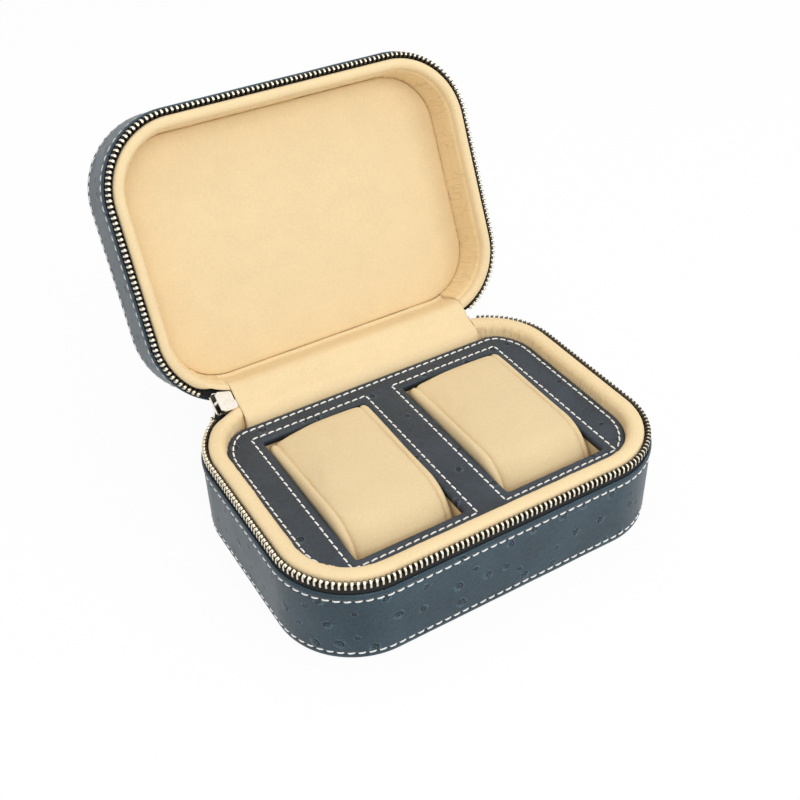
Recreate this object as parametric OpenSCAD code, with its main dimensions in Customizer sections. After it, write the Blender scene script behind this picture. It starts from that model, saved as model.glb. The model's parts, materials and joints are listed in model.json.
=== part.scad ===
// Zip-around travel case for two watches: a shallow tray with a padded rim, two
// pillows in wells below a stitched deck, and a domed-edge lid on a fabric hinge.
// Z is up, the front is -Y, the hinge runs along X at the back. Millimetres.
// The lid is drawn open, as it stands when the hinge lining pulls tight.

/* [Case] */
// Width over the leather, left to right
case_w = 176; // [150:1:210]
// Depth over the leather, front to back
case_d = 128.5; // [118:0.5:160]
// Corner radius of the leather in plan
corner_r = 35; // [32:1:42]
// Height of the tray's leather band
base_h = 36.2; // [32:0.2:60]
// Height of the lid's leather band
lid_h = 29.2; // [26:0.2:32]
// Gap between the two leather bands, bridged by the zip
zip_slot = 12.6; // [12.2:0.1:15]
// Angle the lid stands open at
open_angle = 114.5; // [95:0.5:125]

/* [Walls] */
// Thickness of the leather
leather_t = 1.4; // [1:0.1:1.8]
// How far the turned hem of the band stands proud
hem_bulge = 0.3; // [0:0.05:0.4]
// Height of the turned hem
hem_h = 4.4; // [3:0.1:6]
// Thickness of the stiffening board
board_t = 2.2; // [1.6:0.1:3]
// Slot for the zip tape between the leather and the board
tape_slot = 0.6; // [0.6:0.05:1]

/* [Lining] */
// Distance from the board to the outer side of the padded roll
roll_gap = 0.6; // [0.55:0.05:1.2]
// Distance of the crowns of both rolls from the parting plane
crown_gap = 0.3; // [0.2:0.05:1]
// Width of the padded roll of the tray
roll_w = 5.75; // [5:0.05:8]
// Width of the padded roll of the lid
lid_roll_w = 3.5; // [3:0.1:5]
// How far past the start of a back corner the hinge lining ends, where the rolls begin
seam_past = 7.9; // [7.6:0.1:8.2]
// Thickness of the lining cloth over the hinge
cloth_t = 0.8; // [0.5:0.1:1]

/* [Deck] */
// Depth of the deck's face below the parting plane
deck_drop = 6.5; // [5:0.1:9]
// Width of the hinge lining's slope behind the deck
deck_back = 15.05; // [14:0.05:18]
// Radius where a back corner of the deck turns to its straight back edge
deck_back_r = 12; // [7:0.5:13]
// Thickness of the deck's leather
deck_leather_t = 1.2; // [0.8:0.1:1.6]
// Thickness of the deck's board
deck_board_t = 2; // [1.5:0.1:3]
// Bridge between the two windows
bridge_w = 20.8; // [16:0.2:24]
// Leather between a window and the deck's side edge
side_margin = 17.8; // [15:0.2:22]
// Leather between a window and the deck's front edge
front_margin = 8.85; // [8:0.05:12]
// Leather between a window and the deck's back edge
back_margin = 12.4; // [11:0.1:16]
// Depth of the leather turned down into a window
lip_drop = 3.2; // [3:0.1:5]
// Thickness of the cloth boxes below the windows
liner_t = 1; // [0.8:0.1:1.4]

/* [Pillows] */
// Gap between a pillow and its window at each side
pillow_gap = 2.3; // [1.8:0.1:4]
// How far a pillow stands above the deck
pillow_rise = 6; // [3:0.5:10]
// Radius of a pillow's front shoulder
pillow_front_r = 14; // [10:0.5:16]
// Radius of the crown over a pillow's top
pillow_crown_r = 150; // [100:5:300]
// Radius of a pillow's back shoulder
pillow_back_r = 12; // [9:0.5:15]
// Thickness of a pillow's end panel
pillow_end_t = 1.2; // [0.8:0.1:2]

/* [Lid] */
// Depth of the lid's panel above the parting plane
lid_depth = 19.5; // [17:0.5:20]
// Inset of the lid's panel from the leather
panel_inset = 9.9; // [9.6:0.1:12]
// Thickness of the panel's padding
panel_pad_t = 3; // [2:0.1:4]

/* [Zip] */
// Spacing of the teeth
tooth_pitch = 2.3; // [2.2:0.05:2.8]
// Length of a tooth across the tape
tooth_l = 3.2; // [3:0.1:3.6]
// Width of a tooth through the tape
tooth_w = 2.4; // [2.2:0.1:2.6]
// Thickness of a tooth along the tape
tooth_t = 1.15; // [0.9:0.05:1.3]
// Distance of the tooth tips from the parting plane
tip_gap = 1.2; // [1.15:0.05:1.5]
// Thickness of the zip tape
tape_t = 0.5; // [0.3:0.05:0.55]
// Length of the slider along the zip
slider_l = 8.4; // [7.5:0.1:9]
// Length of the pull
pull_l = 26; // [18:0.5:30]
// Width of the pull
pull_w = 6.4; // [5:0.2:8]

/* [Hidden] */
$fn = 48;
navy = "#2f4150";
cream = "#ead2a0";
greyboard = "#8a8378";
black = "#161616";
brass = "#cfc3a0";
steel = "#cfcac0";
// Assembly clearance between glued pieces
fit = 0.1;
// Half spans between the corner centres
span_x = case_w / 2 - corner_r;
span_y = case_d / 2 - corner_r;
// Parting plane between the tray and the lid
part_z = base_h + zip_slot / 2;
// Hinge line, in the middle of the tape slot at the back
tape_o = leather_t + tape_slot / 2;
hinge_y = case_d / 2 - tape_o - 0.45;
// Lid's outer face, seen upside down in the tray's frame
lid_floor = base_h - lid_h;
// Insets of the board and of the roll from the outer face
board_o = leather_t + tape_slot;
lining_o = board_o + board_t + roll_gap;
deck_inset = lining_o + roll_w + 0.05;
board_top = base_h + 0.2;
skirt_top = board_top + 0.3;
crown_z = part_z - crown_gap;
deck_z = part_z - deck_drop;
board_z = deck_z - deck_leather_t;
lining_z = board_z - deck_board_t - 2.8;
lip_t = deck_leather_t + 0.1;
// Panel of the lid, in the lid's upside down frame
panel_z = part_z - lid_depth;
panel_board_t = 2;
tooth_z = part_z - tip_gap - tooth_l;
tape_top = tooth_z + 1.5;
zip_r = corner_r - tape_o;
// Depth pared off the rolls beside the parked slider
slider_room = 2.5;
// Angles from straight back: the parked slider, the first teeth, the bottom stop and the far end
park_a = 23.5;
zone_a = 36;
stop_a = 15.6;
end_a = 18;
// Plan outline: half width, front, back, corner radius
case_plan = [case_w / 2, -case_d / 2, case_d / 2, corner_r];
// Deck outline: it follows the case round the corners, then turns to a straight back edge
deck_x = case_w / 2 - deck_inset;
deck_front = deck_inset - case_d / 2;
deck_y = case_d / 2 - deck_back;
deck_r = corner_r - deck_inset;
deck_turn = asin((deck_y - span_y - deck_back_r) / (deck_r - deck_back_r));
deck_cx = span_x + (deck_r - deck_back_r) * cos(deck_turn);
deck_cy = deck_y - deck_back_r;
// Windows, set in from the deck's edges
window_w = deck_x - side_margin - bridge_w / 2;
window_x = (window_w + bridge_w) / 2;
window_front = deck_front + front_margin;
window_d = deck_y - back_margin - window_front;
window_y = window_front + window_d / 2;
// Half length of the hinge lining at its seams
seam_x = span_x + seam_past;
// Flat top of a back pad, before the hinge
pad_flat = 4;
// Half height of the staple that joins the two tapes
stop_half = tip_gap + 1.1;

function inset(p, i) = [p[0] - i, p[1] + i, p[2] - i, p[3] - i];
// Points along a quarter or half ellipse
function arc(c, rx, ry, a0, a1, n) =
    [for (i = [0:n]) let (a = a0 + (a1 - a0) * i / n) [c[0] + rx * cos(a), c[1] + ry * sin(a)]];

// Filled rounded outline
module outline(p) {
    x = p[0] - p[3];
    polygon([[-x, p[1]], [x, p[1]], [p[0], p[1] + p[3]], [p[0], p[2] - p[3]],
        [x, p[2]], [-x, p[2]], [-p[0], p[2] - p[3]], [-p[0], p[1] + p[3]]]);
    for (s = [-1, 1]) {
        translate([s * x, p[1] + p[3]]) circle(r = p[3]);
        translate([s * x, p[2] - p[3]]) circle(r = p[3]);
    }
}

module slab(p, z0, z1) translate([0, 0, z0]) linear_extrude(z1 - z0) outline(p);

// Filled deck outline, set in by a margin
module deck_outline(i) {
    turn_y = span_y + (deck_r - i) * sin(deck_turn);
    intersection() {
        outline(inset(case_plan, deck_inset + i));
        translate([-case_w, -case_d]) square([2 * case_w, case_d + turn_y]);
    }
    translate([-deck_cx, 0]) square([2 * deck_cx, deck_y - i]);
    for (s = [-1, 1]) translate([s * deck_cx, deck_cy]) circle(r = deck_back_r - i);
}

module deck_slab(i, z0, z1) translate([0, 0, z0]) linear_extrude(z1 - z0) deck_outline(i);

// Profile drawn as (outward, up), swept straight for len from a point on the outline
module side(x, y, normal, len)
    translate([x, y, 0]) rotate([0, 0, normal]) rotate([90, 0, 0]) linear_extrude(len) children();

// The same profile swept round a corner of radius r
module bend(x, y, r, a0, a1)
    translate([x, y, 0]) rotate([0, 0, a0]) rotate_extrude(angle = a1 - a0) translate([r, 0]) children();

// Profile swept all the way round an outline
module loop(p) {
    x = p[0] - p[3];
    y0 = p[1] + p[3];
    y1 = p[2] - p[3];
    side(p[0], y1, 0, y1 - y0) children();
    side(-p[0], y0, 180, y1 - y0) children();
    side(-x, p[2], 90, 2 * x) children();
    side(x, p[1], -90, 2 * x) children();
    bend(x, y0, p[3], -90, 0) children();
    bend(x, y1, p[3], 0, 90) children();
    bend(-x, y1, p[3], 90, 180) children();
    bend(-x, y0, p[3], 180, 270) children();
}

// Profile swept all the way round the deck
module deck_loop() {
    for (m = [0, 1]) mirror([m, 0, 0]) {
        side(deck_x, span_y, 0, 2 * span_y) children();
        bend(span_x, -span_y, deck_r, -90, 0) children();
        bend(span_x, span_y, deck_r, 0, deck_turn) children();
        bend(deck_cx, deck_cy, deck_back_r, 90, deck_turn) children();
    }
    side(-deck_cx, deck_y, 90, 2 * deck_cx) children();
    side(span_x, deck_front, -90, 2 * span_x) children();
}

// Profile swept round the three zipped sides, between two angles from straight back
module zip_run(left_a, right_a) {
    bend(-span_x, span_y, corner_r, 180, 90 + left_a) children();
    side(-case_w / 2, -span_y, 180, 2 * span_y) children();
    bend(-span_x, -span_y, corner_r, 180, 270) children();
    side(span_x, -case_d / 2, -90, 2 * span_x) children();
    bend(span_x, -span_y, corner_r, 270, 360) children();
    side(case_w / 2, span_y, 0, 2 * span_y) children();
    bend(span_x, span_y, corner_r, 0, 90 - right_a) children();
}

// Lid pieces are drawn like tray pieces, then turned over and swung open
module swing(a)
    translate([0, hinge_y, part_z]) rotate([-a, 0, 0]) translate([0, -hinge_y, -part_z]) children();
module as_lid() swing(open_angle) translate([0, 0, 2 * part_z]) mirror([0, 0, 1]) children();
// The slider and the bottom stop lean half as far as the lid
module as_slider() swing(open_angle / 2) children();
// Left rear corner at an angle from straight back: x outward, y along the zip
module at_corner(a) translate([-span_x, span_y, 0]) rotate([0, 0, 90 + a]) children();

// Leather band with its turned hem
module side_wrap(floor_z) loop(case_plan) polygon(concat(
    [[-leather_t, floor_z + 0.6], [-0.5, floor_z + 0.6], [0, floor_z + 1.1], [0, base_h - hem_h],
        [hem_bulge, base_h - hem_h + 1]],
    arc([(hem_bulge - leather_t) / 2, base_h - 0.8], (hem_bulge + leather_t) / 2, 0.8, 0, 180, 6)));
module flat_wrap(floor_z) slab(inset(case_plan, leather_t + fit), floor_z, floor_z + leather_t);
module wall_board(floor_z) loop(case_plan)
    translate([-board_o - board_t, floor_z + leather_t]) square([board_t, board_top - floor_z - leather_t]);
module flat_board(floor_z)
    slab(inset(case_plan, board_o + board_t + fit / 2), floor_z + leather_t, floor_z + leather_t + board_t);

// Section of a padded roll: over the board's edge, round the crown and down inside
module roll_section(outer, inner, foot_o, foot_z) {
    mid = (outer + inner) / 2;
    side_z = skirt_top + 2.6;
    polygon(concat(
        [[-board_o - board_t - 0.05, foot_z], [-board_o - board_t - 0.05, board_top],
            [-board_o - 0.05, board_top], [-board_o - 0.05, skirt_top], [-outer, skirt_top]],
        arc([-mid, side_z], (inner - outer) / 2, crown_z - side_z, 0, 180, 10),
        [[-foot_o, foot_z + 0.4], [-foot_o, foot_z]]));
}

// Rolls stop at the hinge seam, and are pared back on the outside where the slider parks
module rim_lining(width, foot_o, foot_z) difference() {
    zip_run(8, 8) roll_section(lining_o, lining_o + width, foot_o, foot_z);
    bend(-span_x, span_y, corner_r, 90 + zone_a - 2, 95)
        translate([-lining_o - slider_room, skirt_top]) square([2 * slider_room, crown_z]);
    translate([-seam_x, 0, 0]) cube([2 * seam_x, case_d, 2 * part_z]);
}

// Section in Y and Z, swept along X to both sides of the middle
module across(half) translate([-half, 0, 0]) rotate([90, 0, 90]) linear_extrude(2 * half) children();

// Padding between the inner wall and the deck, where the deck turns to its straight back edge
module corner_fill() {
    end_a = acos((seam_x - span_x) / (deck_r + 0.3));
    translate([0, 0, lining_z]) linear_extrude(deck_z - 0.8 - lining_z) difference() {
        polygon(concat([[seam_x, deck_y - 1]],
            arc([span_x, span_y], deck_r + 0.3, deck_r + 0.3, end_a, deck_turn + 10, 4),
            [[span_x + (deck_r - 3) * cos(deck_turn + 10), span_y + (deck_r - 3) * sin(deck_turn + 10)]]));
        translate([deck_cx, deck_cy]) circle(r = deck_back_r + 0.05);
        translate([0, deck_y - 3]) square([deck_cx, 3.05]);
    }
}

// Foam and cloth wedge behind the deck or the lid's panel, rounded at its ends like the wall
module back_pad(y0, foot_z, top_z) {
    y1 = case_d / 2 - board_o - board_t;
    top = crown_z - cloth_t;
    intersection() {
        across(seam_x - fit) polygon(concat(
            [[y0, foot_z], [case_d / 2, foot_z], [case_d / 2, top], [y1 - pad_flat, top]],
            arc([y1 - pad_flat, top_z], y1 - pad_flat - y0, top - top_z, 90, 180, 8)));
        union() {
            slab(inset(case_plan, board_o + board_t + 0.05), foot_z, part_z);
            slab(inset(case_plan, board_o + board_t - 1.35), board_top, part_z);
        }
    }
}

// Zip tape, held in the slot and standing up to the teeth
module zip_tape() {
    inner = -tape_o - tape_t / 2;
    zip_run(zone_a, end_a - 1.5) translate([inner, lining_z]) square([tape_t, tape_top - lining_z]);
    bend(-span_x, span_y, corner_r, 180, 90 + stop_a)
        translate([inner, lining_z]) square([tape_t, board_top - lining_z]);
}

// Path of the tape's middle from the parked slider round to the far end: x, y, normal
arc_1 = zip_r * (90 - zone_a) * PI / 180;
arc_q = zip_r * PI / 2;
run_1 = arc_1 + 2 * span_y;
run_2 = run_1 + arc_q;
run_3 = run_2 + 2 * span_x;
run_4 = run_3 + arc_q;
run_5 = run_4 + 2 * span_y;
zip_l = run_5 + zip_r * (90 - end_a) * PI / 180;
function turn(cx, cy, a) = [cx + zip_r * cos(a), cy + zip_r * sin(a), a];
function zip_point(s) =
    s < arc_1 ? turn(-span_x, span_y, 90 + zone_a + s / zip_r * 180 / PI)
    : s < run_1 ? [-span_x - zip_r, span_y - s + arc_1, 180]
    : s < run_2 ? turn(-span_x, -span_y, 180 + (s - run_1) / zip_r * 180 / PI)
    : s < run_3 ? [s - run_2 - span_x, -span_y - zip_r, 270]
    : s < run_4 ? turn(span_x, -span_y, 270 + (s - run_3) / zip_r * 180 / PI)
    : s < run_5 ? [span_x + zip_r, s - run_4 - span_y, 0]
    : turn(span_x, span_y, (s - run_5) / zip_r * 180 / PI);

// One tooth: two legs clamped on the tape's edge, and a head with its nub
module tooth() {
    h = tooth_w / 2;
    g = tape_t / 2;
    tip = tooth_z + tooth_l;
    rotate([90, 0, 0]) linear_extrude(tooth_t, center = true) polygon([
        [-h, tooth_z + 0.4], [-h + 0.4, tooth_z], [-g, tooth_z], [-g, tape_top],
        [g, tape_top], [g, tooth_z], [h - 0.4, tooth_z], [h, tooth_z + 0.4],
        [h, tip - 0.7], [h - 0.6, tip], [0.6 - h, tip], [-h, tip - 0.7]]);
    translate([0, 0, tip - 0.75]) rotate([90, 0, 0]) cylinder(h = tooth_t / 2 + 0.3, r = 0.45, $fn = 16);
}

// Every tooth of one tape, starting a share of the pitch past the parked slider
module teeth(start) for (i = [0:floor(zip_l / tooth_pitch - start) - 1]) {
    p = zip_point((i + start) * tooth_pitch);
    translate([p[0], p[1], 0]) rotate([0, 0, p[2]]) tooth();
}

// Clip closing the far end of one tape
module top_stop() {
    p = zip_point(zip_l);
    translate([p[0], p[1], 0]) rotate([0, 0, p[2]]) difference() {
        translate([-tooth_w / 2, 0.3, tooth_z - 0.5]) cube([tooth_w, 1.6, tooth_l]);
        translate([-tape_t / 2, 0, tooth_z - 1]) cube([tape_t, 2.5, tape_top - tooth_z + 1]);
    }
}

// Boxes of the two wells, grown by a margin
module well_box(s, grow, z0, z1)
    translate([s * window_x - window_w / 2 - grow, window_y - window_d / 2 - grow, z0])
        cube([window_w + 2 * grow, window_d + 2 * grow, z1 - z0]);

// Rounding taken off the top edge of a window, along all four sides
module window_round(s) {
    r = lip_t - 0.2;
    for (k = [0:3]) {
        across = k % 2 == 0 ? window_w : window_d;
        along = k % 2 == 0 ? window_d : window_w;
        translate([s * window_x, window_y, 0]) rotate([0, 0, 90 * k])
            translate([across / 2, along / 2 + r, 0]) rotate([90, 0, 0])
                linear_extrude(along + 2 * r) difference() {
                    translate([-0.5, deck_z - r]) square([r + 0.5, r + 0.5]);
                    translate([r, deck_z - r]) circle(r = r);
                }
    }
}

module base_side_wrap() color(navy) side_wrap(0);
module base_bottom_wrap() color(navy) flat_wrap(0);
module base_wall_board() color(greyboard) wall_board(0);
module base_floor_board() color(greyboard) flat_board(0);
module base_rim_lining() color(cream) {
    rim_lining(roll_w, deck_inset - 0.05, lining_z);
    for (m = [0, 1]) mirror([m, 0, 0]) corner_fill();
}
module base_back_pad() color(cream) back_pad(case_d / 2 - deck_back + fit, lining_z, deck_z - 0.8);

module insert_frame() color(greyboard) difference() {
    union() {
        slab(inset(case_plan, board_o + board_t + fit), leather_t + board_t + fit, lining_z - fit);
        deck_slab(0, lining_z - fit, board_z - deck_board_t - fit);
    }
    for (s = [-1, 1]) well_box(s, liner_t + 0.4, 0, base_h);
}

module deck_board() color(greyboard) difference() {
    deck_slab(deck_leather_t + 0.05, board_z - deck_board_t, board_z);
    for (s = [-1, 1]) well_box(s, lip_t + 0.05, 0, base_h);
}

module deck_cover() color(navy) {
    r = 1.1;
    difference() {
        deck_slab(0, board_z - deck_board_t, deck_z);
        deck_slab(deck_leather_t, board_z - deck_board_t - 1, board_z);
        deck_loop() polygon(concat([[1, deck_z - r], [1, deck_z + 1], [-r, deck_z + 1]],
            arc([-r, deck_z - r], r, r, 90, 0, 5)));
        for (s = [-1, 1]) well_box(s, 0, 0, base_h + 1);
        for (s = [-1, 1]) window_round(s);
    }
    for (s = [-1, 1]) difference() {
        well_box(s, lip_t, deck_z - lip_drop, board_z);
        well_box(s, 0, 0, base_h);
        window_round(s);
    }
}

module well_liner(s) difference() {
    well_box(s, liner_t + 0.3, leather_t + board_t + fit, deck_z - lip_drop - fit);
    well_box(s, 0.3, leather_t + board_t + fit + liner_t, base_h);
}
module well_liner_left() color(cream) well_liner(-1);
module well_liner_right() color(cream) well_liner(1);
module base_zip_tape() color(black) zip_tape();
module base_zip_teeth() color(brass) teeth(0.5);
module base_top_stop() color(brass) top_stop();

module lid_side_wrap() color(navy) as_lid() side_wrap(lid_floor);
module lid_top_wrap() color(navy) as_lid() flat_wrap(lid_floor);
module lid_wall_board() color(greyboard) as_lid() wall_board(lid_floor);
module lid_top_board() color(greyboard) as_lid() flat_board(lid_floor);
module lid_rim_lining() color(cream) as_lid()
    rim_lining(lid_roll_w, panel_inset - fit, panel_z - panel_pad_t - panel_board_t);
module lid_back_pad() color(cream) as_lid() back_pad(case_d / 2 - panel_inset + fit,
    panel_z - panel_pad_t - panel_board_t, panel_z + 0.5);
module lid_foam() color(greyboard) as_lid() slab(inset(case_plan, board_o + board_t + fit),
    lid_floor + leather_t + board_t + fit, panel_z - panel_pad_t - panel_board_t - fit);
module lid_panel_board() color(greyboard) as_lid()
    slab(inset(case_plan, panel_inset + 0.5), panel_z - panel_pad_t - panel_board_t, panel_z - panel_pad_t);

module lid_panel_pad() color(cream) as_lid() {
    plan = inset(case_plan, panel_inset);
    r = panel_pad_t - 0.6;
    back_z = panel_z - panel_pad_t;
    slab(inset(plan, r), back_z, panel_z);
    loop(plan) polygon(concat([[-r - 0.1, panel_z], [-r - 0.1, back_z], [0, back_z]],
        arc([-r, panel_z - r], r, r, 0, 90, 6)));
}
module lid_zip_tape() color(black) as_lid() zip_tape();
module lid_zip_teeth() color(brass) as_lid() teeth(1);
module lid_top_stop() color(brass) as_lid() top_stop();

// Place of a point of the turned-over lid section in the open lid, as y and z
function lidded(y, z) = let (dy = y - hinge_y, dz = part_z - z, c = cos(open_angle), s = sin(open_angle))
    [hinge_y + dy * c + dz * s, part_z - dy * s + dz * c];

// Leather hinge, glued into both tape slots and folded at the parting plane
module hinge_strip() color(navy) {
    yo = case_d / 2 - tape_o + tape_t / 2;
    yi = yo - tape_t;
    across(span_x) polygon([[yi, lining_z], [yi, part_z - 1], lidded(yi, part_z - 1), lidded(yi, lining_z),
        lidded(yo, lining_z), lidded(yo, part_z - 1.2), [yo, part_z - 1.2], [yo, lining_z]]);
}

// Lining cloth lying on both back pads and crossing the hinge line
module hinge_lining() color(cream) {
    y1 = case_d / 2 - board_o - board_t - pad_flat;
    y2 = y1 + pad_flat + 0.5;
    top = crown_z;
    bot = crown_z - cloth_t + 0.05;
    across(seam_x - 0.9) polygon([[y1, bot], [y1, top], [y2, top], lidded(y2, top), lidded(y1, top),
        lidded(y1, bot), lidded(y2 + 0.8, bot), [y2 + 0.8, bot]]);
}

// Staple that joins the two tapes where the zip starts
module zip_bottom_stop() color(brass) as_slider() at_corner(stop_a)
    translate([zip_r - tooth_w / 3, -0.65, part_z - stop_half]) cube([tooth_w / 1.5, 1.3, 2 * stop_half]);

// Slider: inner plate, outer plate with its flanges, and the wedge between the tapes
module slider_body() color(steel) as_slider() at_corner(park_a) translate([zip_r, 0, part_z]) {
    inner = -tooth_w / 2 - 0.65;
    outer = tooth_w / 2 + 0.2;
    half = tip_gap + tooth_l + 0.15;
    plate = [[-slider_l / 2, -3], [-slider_l / 2 + 1, -3.4], [slider_l / 2 - 1.5, -4], [slider_l / 2, -3],
        [slider_l / 2, 3], [slider_l / 2 - 1.5, 4], [-slider_l / 2 + 1, 3.4], [-slider_l / 2, 3]];
    translate([inner - 0.9, 0, 0]) rotate([90, 0, 90]) linear_extrude(0.9) polygon(plate);
    shield = [[-slider_l / 2, -4], [-slider_l / 2 + 1, -half - 0.55], [slider_l / 2 - 1, -half - 0.55],
        [slider_l / 2, -4], [slider_l / 2, 4], [slider_l / 2 - 1, half + 0.55],
        [-slider_l / 2 + 1, half + 0.55], [-slider_l / 2, 4]];
    translate([outer, 0, 0]) rotate([90, 0, 90]) linear_extrude(1.1) polygon(shield);
    for (s = [-1, 1]) translate([outer - 0.85, 1 - slider_l / 2, s * (half + 0.275) - 0.275])
        cube([0.95, slider_l - 2, 0.55]);
    translate([inner - 0.1, 0, 0]) rotate([90, 0, 90]) linear_extrude(outer - inner + 0.2)
        polygon([[slider_l / 2 - 4, 0], [slider_l / 2 - 2.2, -0.95], [slider_l / 2 - 0.3, -0.6],
            [slider_l / 2 - 0.3, 0.6], [slider_l / 2 - 2.2, 0.95]]);
}

// Bail on the slider's outer plate, and the bar the pull hangs on
bail_x = tooth_w / 2 + 0.2 + 1.1;
bar_x = bail_x + 1.55;
module slider_bail() color(steel) as_slider() at_corner(park_a) translate([zip_r + bail_x, 0, part_z]) {
    for (s = [-1, 1]) translate([0, s * 2.6 - 0.5, -0.9]) cube([1.6, 1, 1.8]);
    translate([bar_x - bail_x, 3.1, 0]) rotate([90, 0, 0]) cylinder(h = 6.2, r = 0.6);
}

// Pull, hanging from the bar: its angle from the slider's outward direction when it hangs freely
pull_a = atan2(cos(open_angle / 2), sin(open_angle / 2) * cos(park_a));
module slider_pull() color(steel) as_slider() at_corner(park_a) translate([zip_r + bar_x, 0, part_z])
    rotate([0, pull_a, 0]) difference() {
        union() {
            rotate([90, 0, 0]) cylinder(h = 3.6, r = 1.3, center = true);
            translate([0.6, -1.8, -0.6]) cube([5, 3.6, 1.2]);
            translate([5, -pull_w / 2, -0.6]) cube([pull_l - 5 - pull_w / 2, pull_w, 1.2]);
            translate([pull_l - pull_w / 2, 0, -0.6]) cylinder(h = 1.2, r = pull_w / 2);
        }
        rotate([90, 0, 0]) cylinder(h = 5, r = 0.7, center = true);
        translate([pull_l - pull_w / 2, 0, -1]) cylinder(h = 2, r = pull_w / 4);
    }

// Section of a pillow, front to the left, shrunk by an even margin
module pillow_section(m) {
    l = window_d - 2 * pillow_gap;
    z0 = leather_t + board_t + fit + liner_t + 0.4;
    z1 = deck_z + pillow_rise;
    rf = pillow_front_r - m;
    rb = pillow_back_r - m;
    foot = 7 - m;
    back_h = z1 - z0 - m - foot - pillow_back_r;
    intersection() {
        union() {
            translate([m - l / 2, z0 + m + foot]) square([l - 2 * m, z1 - z0 - foot - m - pillow_front_r]);
            translate([m - l / 2 + foot, z0 + m]) square([l - 2 * m - 2 * foot, foot + 1]);
            translate([m - l / 2 + rf, z1 - m - rf - 2]) square([l - 2 * m - rf - rb, rf + 2]);
            translate([pillow_front_r - l / 2, z1 - pillow_front_r]) circle(r = rf);
            translate([l / 2 - pillow_back_r, z1 - pillow_back_r]) circle(r = rb);
            translate([l / 2 - m - rb - 4, z0 + m + foot]) square([rb + 4, back_h]);
            for (s = [-1, 1]) translate([s * (l / 2 - 7), z0 + 7]) circle(r = foot);
        }
        translate([-4, z1 - m - pillow_crown_r]) circle(r = pillow_crown_r, $fn = 96);
    }
}

module pillow_pad(s) {
    w = window_w - 2 * pillow_gap - 2 * pillow_end_t;
    translate([s * window_x - w / 2, window_y, 0]) rotate([90, 0, 90]) linear_extrude(w) pillow_section(0);
}
module pillow_ends(s) for (e = [-1, 1]) {
    x = e * (window_w / 2 - pillow_gap - pillow_end_t / 2) - pillow_end_t / 2;
    translate([s * window_x + x, window_y, 0]) rotate([90, 0, 90]) linear_extrude(pillow_end_t)
        pillow_section(1.5);
}
module pillow_left_pad() color(cream) pillow_pad(-1);
module pillow_left_ends() color(cream) pillow_ends(-1);
module pillow_right_pad() color(cream) pillow_pad(1);
module pillow_right_ends() color(cream) pillow_ends(1);

base_side_wrap();
base_bottom_wrap();
base_wall_board();
base_floor_board();
base_rim_lining();
base_back_pad();
insert_frame();
deck_board();
deck_cover();
well_liner_left();
well_liner_right();
base_zip_tape();
base_zip_teeth();
base_top_stop();
lid_side_wrap();
lid_top_wrap();
lid_wall_board();
lid_top_board();
lid_rim_lining();
lid_back_pad();
lid_foam();
lid_panel_board();
lid_panel_pad();
lid_zip_tape();
lid_zip_teeth();
lid_top_stop();
hinge_strip();
hinge_lining();
zip_bottom_stop();
slider_body();
slider_bail();
slider_pull();
pillow_left_pad();
pillow_left_ends();
pillow_right_pad();
pillow_right_ends();
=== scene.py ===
"""Watch travel case: leather, zip, lining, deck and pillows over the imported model."""

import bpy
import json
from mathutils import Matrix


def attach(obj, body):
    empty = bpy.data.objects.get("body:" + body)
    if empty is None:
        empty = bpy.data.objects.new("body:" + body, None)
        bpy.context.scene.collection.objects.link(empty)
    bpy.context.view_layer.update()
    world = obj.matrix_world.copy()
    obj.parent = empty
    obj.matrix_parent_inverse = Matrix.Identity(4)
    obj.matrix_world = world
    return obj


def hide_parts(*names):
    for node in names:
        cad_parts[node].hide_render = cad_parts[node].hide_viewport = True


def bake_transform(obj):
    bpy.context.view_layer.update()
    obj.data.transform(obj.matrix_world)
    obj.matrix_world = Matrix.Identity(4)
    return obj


bl_info = {
    "name": "Watch travel case",
    "version": (1, 0, 0),
    "blender": (4, 5, 0),
    "location": "3D View > Sidebar > Watch case",
    "description": "Makes the sewn, padded and metal pieces of a zip-around case for two watches",
    "category": "Object",
}

import json
import math
from contextlib import contextmanager

import bmesh
import bpy
import numpy as np
from mathutils import Matrix, Vector, geometry, noise
from mathutils.bvhtree import BVHTree

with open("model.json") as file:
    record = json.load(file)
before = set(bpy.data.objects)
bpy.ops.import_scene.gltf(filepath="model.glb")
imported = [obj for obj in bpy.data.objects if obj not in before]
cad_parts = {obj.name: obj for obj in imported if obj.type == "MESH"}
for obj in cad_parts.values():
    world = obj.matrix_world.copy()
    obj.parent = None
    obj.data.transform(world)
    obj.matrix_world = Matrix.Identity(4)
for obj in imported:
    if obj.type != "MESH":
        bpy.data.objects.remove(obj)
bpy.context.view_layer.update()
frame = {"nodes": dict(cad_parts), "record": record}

# Sizes below are in millimetres; meshes are made in millimetres and scaled once
MM = 0.001
HALF_W, HALF_D, CORNER = 88.0, 64.25, 35.0
SPAN_X, SPAN_Y = HALF_W - CORNER, HALF_D - CORNER
# Height at which the halves part, the lid's floor below it, the hinge's line and how far it stands open
PART_Z, LID_FLOOR, HINGE_Y = 42.5, 7.0, 62.1
OPEN = math.radians(114.5)
# Inset of the teeth, seam at which the rolls end, and the heights of the deck and the lid's panel
TEETH_INSET, SEAM_X, DECK_Z, PANEL_Z = 1.7, 60.9, 36.0, 23.0
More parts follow.
